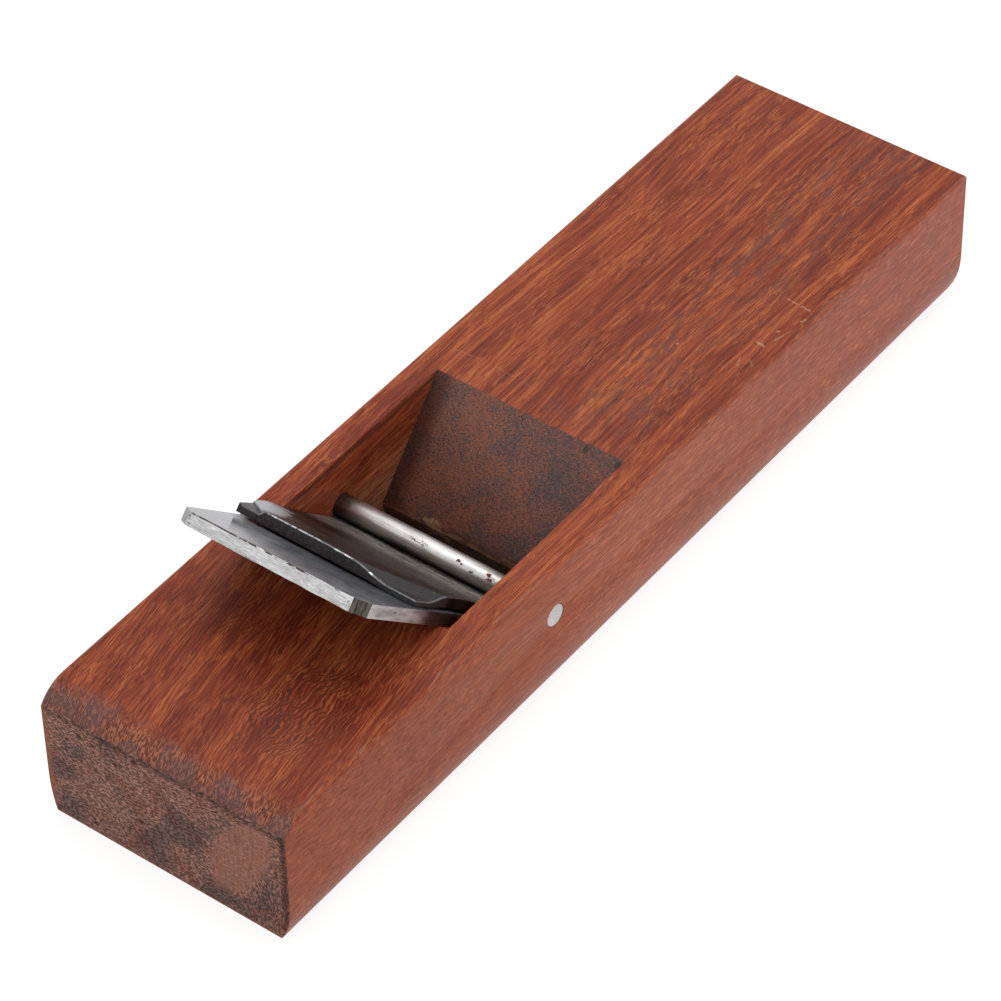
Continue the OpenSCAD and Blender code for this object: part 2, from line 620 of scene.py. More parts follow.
    def split(self, vector: Socket) -> tuple[Socket, Socket, Socket]:
        """The three parts of a vector.

        Args:
            vector: The vector.

        Returns:
            Its X, Y and Z.
        """
        made = self.node("ShaderNodeSeparateXYZ")
        self.feed(made.inputs[0], vector)
        return made.outputs[0], made.outputs[1], made.outputs[2]

    def join(self, x: object, y: object, z: object) -> Socket:
        """A vector from its three parts.

        Args:
            x: Its X.
            y: Its Y.
            z: Its Z.

        Returns:
            The vector.
        """
        made = self.node("ShaderNodeCombineXYZ")
        for socket, value in zip(made.inputs, (x, y, z)):
            self.feed(socket, value)
        return made.outputs[0]

    def rise(self, value: object, low: float, high: float, top: float = 1.0) -> Socket:
        """Smooth step from 0 at low to top at high, either way round.

        Args:
            value: What is looked at.
            low: Where the step starts.
            high: Where it ends, which may be below its start.
            top: Its height.

        Returns:
            The height at the value.
        """
        made = self.node("ShaderNodeMapRange", interpolation_type="SMOOTHSTEP")
        flip = low > high
        self.feed(made.inputs["Value"], value)
        made.inputs["From Min"].default_value = high if flip else low
        made.inputs["From Max"].default_value = low if flip else high
        made.inputs["To Min"].default_value = top if flip else 0.0
        made.inputs["To Max"].default_value = 0.0 if flip else top
        return made.outputs["Result"]

    def band(self, value: Socket, low: float, high: float, soft: float) -> Socket:
        """1 between low and high, with soft edges.

        Args:
            value: What is looked at.
            low: Lower edge of the band.
            high: Upper edge.
            soft: Half width of each soft edge.

        Returns:
            The share of the band.
        """
        return self.times(
            self.rise(value, low - soft, low + soft), self.rise(value, high + soft, high - soft)
        )

    def mix(self, share: object, first: object, second: object, kind: str = "MIX") -> Socket:
        """Mixes two colours.

        Args:
            share: Share of the second.
            first: The first colour.
            second: The second colour.
            kind: How they are mixed.

        Returns:
            The colour.
        """
        made = self.node("ShaderNodeMix", data_type="RGBA", blend_type=kind)
        self.feed(made.inputs["Factor"], share)
        self.feed(made.inputs[6], first)
        self.feed(made.inputs[7], second)
        return made.outputs[2]

    def blend(self, share: object, first: object, second: object) -> Socket:
        """Mixes two numbers.

        Args:
            share: Share of the second.
            first: The first number.
            second: The second number.

        Returns:
            The number.
        """
        made = self.node("ShaderNodeMix", data_type="FLOAT")
        self.feed(made.inputs["Factor"], share)
        self.feed(made.inputs[2], first)
        self.feed(made.inputs[3], second)
        return made.outputs[0]

    def weigh(self, *parts: tuple[Socket, float]) -> Socket:
        """Sum of values, each times its weight.

        Args:
            parts: The values, each with its weight.

        Returns:
            The sum.
        """
        result: object = 0.0
        for value, weight in parts:
            result = self.total(result, self.times(value, weight))
        return result

    def streaks(
        self, source: Socket, long: float, wide: float, detail: float = 2.0, rough: float = 0.5,
        shift: tuple[float, float, float] = (0, 0, 0),
    ) -> Socket:
        """Noise drawn out along X.

        Args:
            source: Where it is read.
            long: Length of a streak.
            wide: Width of a streak.
            detail: Number of finer layers.
            rough: Weight of the finer layers.
            shift: Offset that gives another pattern.

        Returns:
            Its value.
        """
        return self.mottle(source, (1 / long, 1 / wide, 1 / wide), detail, rough, shift=shift)

    def wander(
        self, source: Socket, lengths: tuple[float, float, float], part: int | None = None
    ) -> Socket:
        """Slow random offset between about -0.5 and 0.5.

        Args:
            source: Where it is read.
            lengths: Size of its swings along each axis.
            part: Which of the three offsets is wanted, or None for the vector.

        Returns:
            The offset.
        """
        spread = tuple(1 / length for length in lengths)
        drift = self.noise(self.place(spread, source=source), detail=1, colour=True)
        drift = self.vector("SUBTRACT", drift, (0.5, 0.5, 0.5))
        return drift if part is None else self.split(drift)[part]

    def shake(
        self, value: Socket, source: Socket, lengths: tuple[float, float, float], part: int,
        swing: float,
    ) -> Socket:
        """A value with a slow random offset.

        Args:
            value: The value.
            source: Where the offset is read.
            lengths: Size of its swings along each axis.
            part: Which of the three offsets is taken.
            swing: Factor of the offset.

        Returns:
            The shaken value.
        """
        return self.total(value, self.times(self.wander(source, lengths, part), swing))

    def ellipse(
        self, first: Socket, second: Socket, centre: tuple[float, float], radii: tuple[float, float]
    ) -> Socket:
        """1 at the middle of an ellipse, falling to 0 at its rim.

        Args:
            first: First coordinate.
            second: Second coordinate.
            centre: Its middle.
            radii: Its radii.

        Returns:
            The mask.
        """
        first = self.math("DIVIDE", self.math("SUBTRACT", first, centre[0]), radii[0])
        second = self.math("DIVIDE", self.math("SUBTRACT", second, centre[1]), radii[1])
        away = self.vector("LENGTH", self.join(first, second, 0.0), (0, 0, 0))
        return self.rise(away, 1.0, 0.55)

    def stroke(
        self, first: Socket, second: Socket, start: tuple[float, float],
        end: tuple[float, float], width: float,
    ) -> Socket:
        """Thin straight mark between two points.

        Args:
            first: First coordinate.
            second: Second coordinate.
            start: Where the mark starts.
            end: Where it ends.
            width: Half its width.

        Returns:
            The mask.
        """
        run, climb = end[0] - start[0], end[1] - start[1]
        long = math.hypot(run, climb)
        first = self.math("SUBTRACT", first, start[0])
        second = self.math("SUBTRACT", second, start[1])
        along = self.weigh((first, run / long), (second, climb / long))
        aside = self.size(self.weigh((first, -climb / long), (second, run / long)))
        body = self.band(along, 0.1 * long, 0.9 * long, 0.12 * long)
        return self.times(self.rise(aside, 1.6 * width, 0.4 * width), body)

    def ramp(self, value: Socket, stops: Sequence[tuple[float, Colour]]) -> Socket:
        """Colour ramp with the given stops.

        Args:
            value: What is looked up.
            stops: Places on the ramp, each with its colour.

        Returns:
            The colour.
        """
        made = self.node("ShaderNodeValToRGB")
        self.feed(made.inputs[0], value)
        band = made.color_ramp
        while len(band.elements) < len(stops):
            band.elements.new(0.5)
        for element, (at, colour) in zip(band.elements, stops):
            element.position = at
            element.color = (*colour, 1.0)
        return made.outputs[0]

    def bump(self, height: Socket, depth: float) -> Socket:
        """Bump from a height between 0 and 1.

        Args:
            height: The height.
            depth: What a height of 1 is in metres.

        Returns:
            The bumped normal.
        """
        made = self.node("ShaderNodeBump")
        made.inputs["Strength"].default_value = 1.0
        made.inputs["Distance"].default_value = depth
        self.feed(made.inputs["Height"], height)
        return made.outputs[0]

    def finish(self, **inputs: object) -> bpy.types.Material:
        """Adds the shader and the output.

        Args:
            **inputs: Sockets of the Principled shader, with _ for a space.

        Returns:
            The material.
        """
        shader = self.node("ShaderNodeBsdfPrincipled")
        for key, value in inputs.items():
            self.feed(shader.inputs[key.replace("_", " ")], value)
        output = self.node("ShaderNodeOutputMaterial")
        self.tree.links.new(shader.outputs[0], output.inputs[0])
        return self.material


# ---------------------------------------------------------------------------------------------
# Finishes
# ---------------------------------------------------------------------------------------------


@dataclass(frozen=True)
class Grain:
    """The wood's inner pattern at one place, read by all of its faces."""

    spot: Socket
    x: Socket
    y: Socket
    z: Socket
    flow: Socket
    flow_y: Socket
    bands: Socket
    streaks: Socket
    fibres: Socket
    flecks: Socket
    pores: Socket


@dataclass(frozen=True)
class Hardwood:
    """Oiled reddish-brown hardwood: wavy streaks along X, fine orange flecks, wormy end grain."""

    maroon: Colour = (0.120, 0.015, 0.007)
    russet: Colour = (0.320, 0.060, 0.021)
    orange: Colour = (0.580, 0.170, 0.052)
    pore: Colour = (0.065, 0.015, 0.010)
    bruise: Colour = (0.165, 0.052, 0.038)
    # Painted sheen on the block's outer sides
    side_sheen_pink: Colour = (0.660, 0.176, 0.092)
    side_dark: Colour = (0.255, 0.046, 0.015)
    side_light: Colour = (0.490, 0.108, 0.036)
    groove: Colour = (0.100, 0.045, 0.036)
    worm: Colour = (0.520, 0.255, 0.192)
    tan: Colour = (0.375, 0.150, 0.094)
    wall_dark: Colour = (0.120, 0.084, 0.088)
    wall_rust: Colour = (0.322, 0.118, 0.072)
    knee_tan: Colour = (0.240, 0.125, 0.060)
    scratch: Colour = (0.560, 0.300, 0.190)
    brown: Colour = (0.235, 0.038, 0.014)
    tail_tint: Colour = (0.72, 0.50, 0.45)
    curl_line: Colour = (0.075, 0.017, 0.010)
    blot_tint: Colour = (0.50, 0.57, 0.64)
    red_tint: Colour = (0.95, 0.78, 0.72)
    rubbed_dark: Colour = (0.250, 0.100, 0.068)
    rubbed_grain: Colour = (0.260, 0.115, 0.082)
    pit: Colour = (0.085, 0.018, 0.010)
    end_rim: Colour = (0.360, 0.120, 0.065)
    end_side_tint: Colour = (0.36, 0.25, 0.22)
    wall_dot: Colour = (0.055, 0.026, 0.022)
    # Painted shade in the front wall's left corner
    wall_corner_shade_tint: Colour = (0.40, 0.33, 0.30)
    wall_scratch: Colour = (0.300, 0.220, 0.220)
    knot: Colour = (0.050, 0.042, 0.034)
    wall_shade_tint: Colour = (0.62, 0.52, 0.44)
    # Painted light on the shaded foot of the front wall
    wall_foot_painted_light: Colour = (0.420, 0.190, 0.110)
    knee_dark: Colour = (0.080, 0.040, 0.024)
    knee_light: Colour = (0.185, 0.092, 0.048)
    chip_light: Colour = (0.330, 0.190, 0.100)
    seam_line: Colour = (0.030, 0.016, 0.012)
    # Painted shadow round the crease at the tail
    crease_shadow_tint: Colour = (0.45, 0.38, 0.36)
    crease_line: Colour = (0.030, 0.014, 0.013)
    side_pore_tint: Colour = (0.66, 0.52, 0.50)
    side_glint: Colour = (0.800, 0.300, 0.150)
    toe_tint: Colour = (0.98, 0.82, 0.77)
    inner_orange: Colour = (0.560, 0.170, 0.060)
    inner_chalk: Colour = (0.480, 0.250, 0.150)
    inner_dirt_tint: Colour = (0.52, 0.42, 0.40)
    lip_line: Colour = (0.070, 0.026, 0.016)
    # Lighter colour of the rounded edges, partly wear and partly painted sheen
    edge_wear_and_sheen: Colour = (0.330, 0.170, 0.120)
    round_maroon: Colour = (0.150, 0.048, 0.038)
    round_lilac: Colour = (0.150, 0.080, 0.080)
    round_orange: Colour = (0.460, 0.165, 0.092)
    round_tan: Colour = (0.310, 0.130, 0.098)

    def grain(self, r: Recipe) -> Grain:
        """Lays out the streaks that run through the wood.

        Args:
            r: The recipe that paints the wood.

        Returns:
            The pattern.
        """
        spot = r.place(scale=IN_MM)
        x, y, z = r.split(spot)
        slow = r.wander(spot, (60, 20, 20))
        wave = r.wander(spot, (19, 7, 7))
        near_tail = r.rise(x, -20, -95)
        swing = r.blend(near_tail, 0.8, 1.5)
        slant = r.times(r.math("MINIMUM", r.total(x, 55), 0.0), -0.17)
        sway = r.vector("ADD", r.vector("MULTIPLY", slow, (0, 6, 6)), r.join(0.0, slant, 0.0))
        sway = r.vector("ADD", sway, r.vector("MULTIPLY", wave, r.join(0.0, swing, swing)))
        flow = r.vector("ADD", spot, sway)
        return Grain(
            spot, x, y, z, flow, r.split(flow)[1],
            bands=r.streaks(flow, 90, 5.0, detail=2),
            streaks=r.streaks(flow, 34, 0.85, detail=2, rough=0.55),
            fibres=r.streaks(flow, 11, 0.30, detail=1.5),
            flecks=r.streaks(flow, 3.4, 0.34, detail=1),
            pores=r.streaks(flow, 3.0, 0.28, detail=1, shift=(7, 3, 5)),
        )

    def long_grain(self, r: Recipe, g: Grain) -> Socket:
        """Colour of the faces that run along the grain.

        Args:
            r: The recipe.
            g: The pattern.

        Returns:
            The colour.
        """
        toe_tone = r.weigh((g.streaks, 0.42), (g.fibres, 0.32), (g.bands, 0.26))
        thin = r.streaks(g.flow, 17, 0.48, detail=2, rough=0.6, shift=(2, 6, 1))
        rings = r.weigh((g.flow_y, 1.0), (g.x, 0.06), (g.z, 0.7), (r.wander(g.spot, (9, 5, 7), 1), 5.0))
        rings = r.math("SINE", r.times(rings, 7.4))
        tail_tone = r.weigh((thin, 0.24), (g.fibres, 0.50), (g.bands, 0.26), (rings, 0.016))
        tone = r.blend(r.rise(g.x, -40, -80), toe_tone, tail_tone)
        colour = r.ramp(
            tone, ((0.36, self.maroon), (0.47, self.brown), (0.53, self.russet),
                   (0.66, self.orange)),
        )
        patchy = r.rise(r.streaks(g.spot, 16, 6, detail=2, shift=(3, 9, 2)), 0.40, 0.60)
        light = r.times(r.rise(g.flecks, 0.52, 0.66, 0.6), patchy)
        colour = r.mix(light, colour, self.orange)
        middle = r.times(r.band(g.y, -22, -4, 3), r.rise(g.x, -5, 15))
        clouds = r.streaks(g.flow, 8, 2.4, detail=4, rough=0.7, shift=(4, 4, 4))
        clouds = r.math("SUBTRACT", clouds, r.rise(g.flecks, 0.46, 0.60, 0.10))
        worn = r.times(r.rise(clouds, 0.40, 0.62, 0.8), middle)
        colour = r.mix(worn, colour, self.bruise)
        open_pores = r.blend(middle, 0.40, 0.62)
        dashes = r.times(r.rise(g.pores, 0.56, 0.74), open_pores)
        colour = r.mix(dashes, colour, self.pore)
        deeper = r.rise(g.x, -62, -92, 0.30)
        colour = r.mix(deeper, colour, self.tail_tint, "MULTIPLY")
        lines = r.weigh(
            (g.y, 1.0), (g.x, 0.10), (r.wander(g.spot, (3.4, 2.6, 9), 0), 2.6),
            (r.wander(g.spot, (13, 11, 11), 1), 9.0),
        )
        curls = r.rise(r.math("SINE", r.times(lines, 6.0)), -0.2, 0.7)
        ragged = r.wander(g.spot, (7, 4, 6), 0)
        ragged_x = r.weigh((g.x, 1.0), (ragged, 14.0))
        ragged_y = r.weigh((g.y, 1.0), (ragged, -9.0))
        near_end = r.rise(r.ellipse(ragged_x, ragged_y, (-98, -15), (19, 14)), 0.0, 1.0, 0.9)
        near_iron = r.rise(r.ellipse(ragged_x, ragged_y, (-85, 12), (11, 8)), 0.0, 1.0, 0.6)
        figure = r.most(near_end, near_iron)
        figure = r.times(figure, r.rise(g.fibres, 0.34, 0.52))
        return r.mix(r.times(curls, figure), colour, self.curl_line)

    def end_grain(self, r: Recipe, g: Grain) -> tuple[Socket, Socket]:
        """Colour of the sawn ends, with their worm-like cells.

        Args:
            r: The recipe.
            g: The pattern.

        Returns:
            The colour and how deep the grooves are.
        """
        flat = r.mottle(g.spot, (1 / 2.0, 1 / 1.0, 1 / 0.46), detail=1, distortion=0.5)
        steep = r.mottle(g.spot, (1 / 2.0, 1 / 0.5, 1 / 1.1), detail=1, distortion=0.5)
        corner = r.times(r.rise(g.y, -18, -24), r.rise(g.z, 20, 14))
        cells = r.rise(r.blend(corner, flat, steep), 0.44, 0.57)
        blots = r.mottle(g.spot, (0.11, 0.085, 0.12), detail=3, rough=0.6)
        for place, size in (((28, 14.4), 3.6), ((-3.4, 16.6), 6.5), ((2, 7.7), 5.0), ((-12, 4), 5.5)):
            near = r.ellipse(g.y, g.z, place, (size, size))
            blots = r.total(blots, r.times(near, 0.10))
        red = r.mottle(g.spot, (0.1, 0.16, 0.16), detail=2, shift=(2, 5, 9))
        fine = r.mottle(g.spot, (2, 1.6, 2.4), detail=2)
        colour = r.mix(r.weigh((cells, 0.8), (r.rise(fine, 0.3, 0.7), 0.2)), self.groove, self.worm)
        colour = r.mix(r.rise(blots, 0.48, 0.66), colour, self.blot_tint, "MULTIPLY")
        colour = r.mix(r.rise(red, 0.50, 0.66), colour, self.red_tint, "MULTIPLY")
        ragged = r.weigh((r.wander(g.spot, (6, 5, 6), 1), 0.5), (r.wander(g.spot, (1, 1, 1), 0), 0.25))
        lean = r.weigh((g.y, 1.0), (g.z, 0.42))
        patch = r.ellipse(r.weigh((lean, 1.0), (ragged, 4.0)), g.z, (-11.6, 18.0), (8.6, 16.5))
        fade = r.rise(lean, -17, -5, 0.50)
        patch = r.rise(r.math("SUBTRACT", patch, fade), 0.0, 0.60)
        patch = r.times(patch, r.rise(g.x, 0, -100))
        rubbed = r.mottle(g.spot, (0.5, 2.2, 0.16), detail=3, rough=0.6, shift=(1, 1, 1))
        smooth = r.mix(r.rise(rubbed, 0.36, 0.64), self.rubbed_dark, self.tan)
        smooth = r.mix(r.rise(fine, 0.40, 0.20), smooth, self.rubbed_grain)
        colour = r.mix(r.times(patch, r.rise(cells, 1.6, 0.0, 0.95)), colour, smooth)
        small = r.rise(r.cells(r.place((0.4, 0.5, 0.5), source=g.spot)), 0.22, 0.12, 0.7)
        pits = r.times(small, r.blend(patch, 1.0, 0.0))
        wavering = r.times(r.wander(g.spot, (0.9, 0.9, 0.9), 1), 0.9)
        for place, size in (
            ((22.5, 28.1), 0.9), ((12.8, 25.4), 0.8), ((7.4, 29.6), 0.9), ((7, 12), 0.8),
            ((20.2, 2.9), 0.8), ((18.8, 27.4), 0.6), ((26, 25), 0.5),
        ):
            pit = r.ellipse(r.total(g.y, wavering), g.z, place, (size, size * 0.8))
            pits = r.most(pits, r.rise(pit, 0.0, 0.5))
        colour = r.mix(pits, colour, self.pit)
        rim = r.most(r.rise(g.z, 1.0, 0.3), r.rise(g.y, 30.4, 31.6))
        colour = r.mix(r.times(rim, 0.7), colour, self.end_rim)
        reach = r.weigh((g.y, 1.0), (ragged, 2.0))
        colour = r.mix(r.band(reach, -32.5, -30.8, 0.9), colour, self.end_side_tint, "MULTIPLY")
        grooves = r.times(r.math("SUBTRACT", 1.0, cells), r.blend(patch, 1.0, 0.1))
        return colour, grooves

    def front_wall(self, r: Recipe, g: Grain) -> Socket:
        """Colour of the mortise's sloping front wall and of the knee under it, with painted shade in its left
        corner and lower down, and painted light at its foot on the left.

        Args:
            r: The recipe.
            g: The pattern.

        Returns:
            The colour.
        """
        speckle = r.mottle(g.spot, (1 / 0.5, 1 / 0.55, 1 / 0.26), detail=2, rough=0.6, distortion=0.4)
        cloud = r.mottle(g.spot, (0.13, 0.13, 0.13), detail=4, rough=0.6)
        middle = r.band(g.z, 15, 28, 5)
        share = r.weigh((speckle, 0.64), (cloud, 0.36), (g.y, 0.0020), (middle, 0.005))
        colour = r.mix(r.rise(share, 0.44, 0.57), self.wall_dark, self.wall_rust)
        dots = r.mottle(g.spot, (1 / 0.4, 1 / 0.6, 1 / 0.2), detail=1, shift=(5, 5, 5))
        colour = r.mix(r.rise(dots, 0.50, 0.64, 0.6), colour, self.wall_dot)
        corner = r.shake(g.y, g.spot, (3, 3, 3), 1, 2.5)
        # Painted shade: the wall darkens in its corner by the left cheek.
        colour = r.mix(r.rise(corner, 18.6, 24.2), colour, self.wall_corner_shade_tint, "MULTIPLY")
        for start, end in (
            ((10.1, 27), (11.1, 22.7)), ((-3, 27.4), (-8.7, 26.9)), ((-11, 26.7), (-12.6, 25.7)),
        ):
            mark = r.times(r.stroke(g.y, g.z, start, end, 0.14), r.rise(speckle, 0.40, 0.60, 0.7))
            colour = r.mix(mark, colour, self.wall_scratch)
        for place, size in (((-15.7, 34.5), 0.8), ((-24.5, 34.3), 1.1)):
            knot = r.rise(r.ellipse(corner, g.z, place, (size, size)), 0.0, 0.7, 0.8)
            colour = r.mix(knot, colour, self.knot)
        shade = r.total(g.z, r.times(g.y, -0.45))
        colour = r.mix(r.rise(shade, 27, 11, 0.62), colour, self.wall_shade_tint, "MULTIPLY")
        # Painted light: the shaded foot of the wall, on its left, is lifted to a bright rust colour.
        foot = r.times(r.rise(g.z, 11.3, 10.6), r.rise(g.y, 0, 8, 0.6))
        colour = r.mix(foot, colour, self.wall_foot_painted_light)
        line = r.weigh(
            (g.z, 1.0), (r.wander(g.spot, (9, 6, 9), 1), 2.6), (r.wander(g.spot, (1, 1.2, 1), 0), 1.4),
            (r.most(g.y, 0.0), 0.09),
        )
        rough_cut = r.streaks(g.spot, 3.5, 0.5, detail=2)
        turned = r.mottle(g.spot, (1, 0.22, 1.6), detail=3, rough=0.65)
        knee = r.mix(r.rise(turned, 0.38, 0.62), self.knee_dark, self.knee_light)
        colour = r.mix(r.rise(line, 12.4, 11.6), colour, knee)
        chip = r.ellipse(
            r.shake(g.y, g.spot, (2, 2, 2), 1, 3.0),
            r.weigh((g.z, 1.0), (g.y, -0.30), (r.wander(g.spot, (1.5, 1.5, 1.5), 2), 2.0)),
            (11.0, 7.6), (4.4, 1.7),
        )
        chipped = r.mix(r.rise(rough_cut, 0.4, 0.6), self.knee_tan, self.chip_light)
        colour = r.mix(r.rise(chip, 0.1, 0.5), colour, chipped)
        seam = r.band(line, 11.9, 12.5, 0.4)
        return r.mix(r.times(seam, 0.5), colour, self.seam_line)

    def outer_sides(self, r: Recipe, g: Grain, outer: Socket, colour: Socket) -> Socket:
        """Paints the block's sides, quieter than its top, with a painted pale sheen that grows towards the
        toe.

        Args:
            r: The recipe.
            g: The pattern.
            outer: Share of the sides.
            colour: The colour underneath.

        Returns:
            The colour.
        """
        # Painted sheen: a pale pink mixed over the sides, stronger towards the toe.
        toe_sheen_share = r.rise(g.x, -120, -10)
        colour = r.mix(r.times(outer, r.blend(toe_sheen_share, 0.10, 0.34)), colour, self.side_sheen_pink)
        drawn = r.times(outer, r.rise(g.pores, 0.50, 0.66, 0.55))
        colour = r.mix(drawn, colour, self.side_pore_tint, "MULTIPLY")
        glints = r.times(outer, r.rise(g.flecks, 0.54, 0.68, 0.4))
        colour = r.mix(glints, colour, self.side_glint)
        calm = r.times(outer, r.rise(g.x, -15, -50, 0.58))
        smooth = r.rise(r.streaks(g.flow, 16, 0.6, detail=3, rough=0.6, shift=(6, 2, 8)), 0.40, 0.60)
        colour = r.mix(calm, colour, r.mix(smooth, self.side_dark, self.side_light))
        redder = r.times(outer, r.rise(g.x, 20, 110))
        return r.mix(redder, colour, self.toe_tint, "MULTIPLY")

    def cheeks(self, r: Recipe, g: Grain, inner: Socket, colour: Socket) -> Socket:
        """Paints the mortise's side walls: bright streaks above, chalky and dirty lower down.

        Args:
            r: The recipe.
            g: The pattern.
            inner: Share of the side walls.
            colour: The colour underneath.

        Returns:
            The colour.
        """
        lit = r.times(r.rise(g.z, 32, 20, 0.6), r.rise(g.fibres, 0.46, 0.60))
        colour = r.mix(r.times(inner, lit), colour, self.inner_orange)
        chalky = r.mottle(g.spot, (0.25, 0.3, 1.6), detail=4, rough=0.65)
        low = r.times(r.rise(g.z, 25, 15), r.rise(chalky, 0.40, 0.60, 0.6))
        colour = r.mix(r.times(inner, low), colour, self.inner_chalk)
        dirty = r.times(r.rise(chalky, 0.52, 0.36), r.rise(g.z, 22, 26, 0.65))
        colour = r.mix(r.times(inner, dirty), colour, self.inner_dirt_tint, "MULTIPLY")
        lip = r.shake(g.z, g.spot, (4, 4, 4), 2, 1.2)
        lip = r.times(r.band(lip, 33.6, 34.7, 0.4), inner, r.rise(g.y, 0, 5))
        return r.mix(r.times(lip, 0.7), colour, self.lip_line)

    def rounded_tail(
        self, r: Recipe, g: Grain, along: Socket, rounding: Socket, colour: Socket
    ) -> tuple[Socket, Socket]:
        """Paints the worn rounding at the tail, where the grain is cut at a slant.

        Args:
            r: The recipe.
            g: The pattern.
            along: How far the surface faces along the block.
            rounding: Share of the rounding.
            colour: The colour underneath.

        Returns:
            The colour and the pattern of small worm-like cells.
        """
        worms = r.mottle(g.flow, (1 / 1.6, 1 / 0.36, 1 / 0.85), detail=1.5, distortion=0.3)
        small = r.rise(worms, 0.43, 0.57)
        tint = r.mottle(g.spot, (0.15, 0.12, 0.15), detail=3, shift=(3, 1, 4))
        lilac = r.mix(r.rise(tint, 0.40, 0.60), self.round_maroon, self.round_lilac)
        pale = r.mix(r.rise(tint, 0.40, 0.60), self.round_orange, self.round_tan)
        lilac = r.mix(small, lilac, pale)
        veil = r.weigh((rounding, 0.9), (r.rise(tint, 0.35, 0.65), 0.25), (worms, 0.25))
        veil = r.times(r.rise(veil, 0.12, 1.20, 0.95), r.rise(along, 0.01, 0.12))
        return r.mix(veil, colour, lilac), small

    def wear_and_crease_shadow(self, r: Recipe, g: Grain, colour: Socket) -> Socket:
        """Adds painted shadow and a dark broken line along the crease at the tail, and the pale scratches on
        the top.

        Args:
            r: The recipe.
            g: The pattern.
            colour: The colour underneath.

        Returns:
            The worn colour.
        """
        drift = r.weigh((r.wander(g.spot, (5, 9, 5), 1), 1.4), (r.wander(g.spot, (0.8, 0.8, 0.8), 2), 1.8))
        level = r.total(g.z, drift)
        at_tail = r.times(r.rise(g.x, -122, -124), r.rise(r.size(g.y), 32.2, 31.6))
        # Painted shadow: a soft dark band round the crease at the tail.
        shadow = r.times(r.band(level, 30.0, 31.4, 1.0), at_tail)
        colour = r.mix(r.times(shadow, 0.75), colour, self.crease_shadow_tint, "MULTIPLY")
        strong = r.blend(r.band(g.y, -30, 12, 10), 0.54, 0.43)
        nicks = r.mottle(g.spot, (0.4, 0.45, 0.5), detail=3, rough=0.65)
        broken = r.rise(r.math("SUBTRACT", nicks, strong), -0.10, 0.02, 0.95)
        crease = r.band(level, 30.85, 31.25, 0.35)
        crease = r.times(crease, at_tail, broken)
        colour = r.mix(crease, colour, self.crease_line)
        ragged = r.rise(r.mottle(g.spot, (1.0, 1.0, 1.0), detail=3), 0.40, 0.56)
        on_top = r.times(r.rise(g.z, 35.0, 35.5), ragged)
        marks = (
            ((8, 4), (9, 17), 0.11, 0.30), ((9, 18), (8, 29), 0.11, 0.30),
            ((49, 11), (50, 17), 0.10, 0.25), ((65.6, -23), (65.1, -27.5), 0.22, 0.70),
            ((65.3, -27), (65.0, -31), 0.28, 0.80), ((49.6, -24.5), (49.4, -28.5), 0.22, 0.70),
            ((49.5, -26.4), (49.2, -28.8), 0.34, 0.60), ((51.4, -29), (57.5, -30.4), 0.22, 0.55),
            ((54.5, -27.4), (55.6, -28.6), 0.25, 0.60), ((40, -27.4), (43.5, -26), 0.20, 0.50),
            ((43.5, -28.4), (42.2, -30.2), 0.25, 0.50), ((60.5, -30.2), (62.5, -31), 0.30, 0.50),
            ((38.4, -12.1), (39, -12.3), 0.3, 0.7), ((77.7, -10.7), (78.3, -10.9), 0.3, 0.7),
            ((95, 20), (101, 26), 0.09, 0.2), ((-84, 24), (-79, 27), 0.09, 0.2),
        )
        for start, end, width, strength in marks:
            mark = r.stroke(g.x, g.y, start, end, width)
            mark = r.times(mark, on_top, strength)
            colour = r.mix(mark, colour, self.scratch)
        return colour

    def material(self) -> bpy.types.Material:
        """Makes the wood.

        Returns:
            The material.
        """
        r = Recipe("oiled_hardwood")
        g = self.grain(r)
        facing = r.node("ShaderNodeNewGeometry").outputs["Normal"]
        nx, ny, _ = r.split(facing)
        along, across = r.size(nx), r.size(ny)
        colour = self.long_grain(r, g)
        sides = r.rise(across, 0.35, 0.85)
        outer = r.times(sides, r.rise(r.size(g.y), 27, 29))
        inner = r.math("SUBTRACT", sides, outer, clamp=True)
        colour = self.outer_sides(r, g, outer, colour)
        colour = self.cheeks(r, g, inner, colour)
        # Rounded long edges: lighter greyish streaks, partly wear and partly painted sheen.
        edge = r.times(r.rise(across, 0.12, 0.4), r.rise(across, 0.95, 0.6))
        rubbed = r.rise(r.streaks(g.flow, 20, 0.7, shift=(5, 0, 0)), 0.45, 0.62, 0.5)
        colour = r.mix(r.times(edge, rubbed), colour, self.edge_wear_and_sheen)
        # Ends and the worn rounding at the tail
        cells, grooves = self.end_grain(r, g)
        rounding = r.times(r.rise(along, 0.04, 0.62), r.rise(g.x, -60, -100))
        colour, small = self.rounded_tail(r, g, along, rounding, colour)
        ends = r.rise(along, 0.80, 0.93)
        colour = r.mix(ends, colour, cells)
        in_mortise = r.times(r.rise(g.x, -70, -60), r.rise(nx, -0.3, -0.6))
        in_mortise = r.times(in_mortise, r.rise(r.size(g.x), 100, 80))
        colour = r.mix(in_mortise, colour, self.front_wall(r, g))
        colour = self.wear_and_crease_shadow(r, g, colour)

        open_end = r.most(ends, rounding)
        relief = r.weigh((g.streaks, 0.35), (g.fibres, 0.4), (g.pores, -0.45))
        cut = r.blend(ends, small, r.math("SUBTRACT", 1.0, grooves))
        height = r.blend(open_end, r.times(relief, 0.5), cut)
        return r.finish(
            Base_Color=colour,
            Roughness=r.blend(open_end, r.blend(g.streaks, 0.38, 0.54), 0.66),
            Specular_IOR_Level=0.2,
            Normal=r.bump(height, 0.00014),
        )


@dataclass(frozen=True)
class Survey:
    """Place and direction of a surface in the bed's frame."""

    spot: Socket
    x: Socket
    y: Socket
    z: Socket
    nx: Socket
    ny: Socket
    nz: Socket


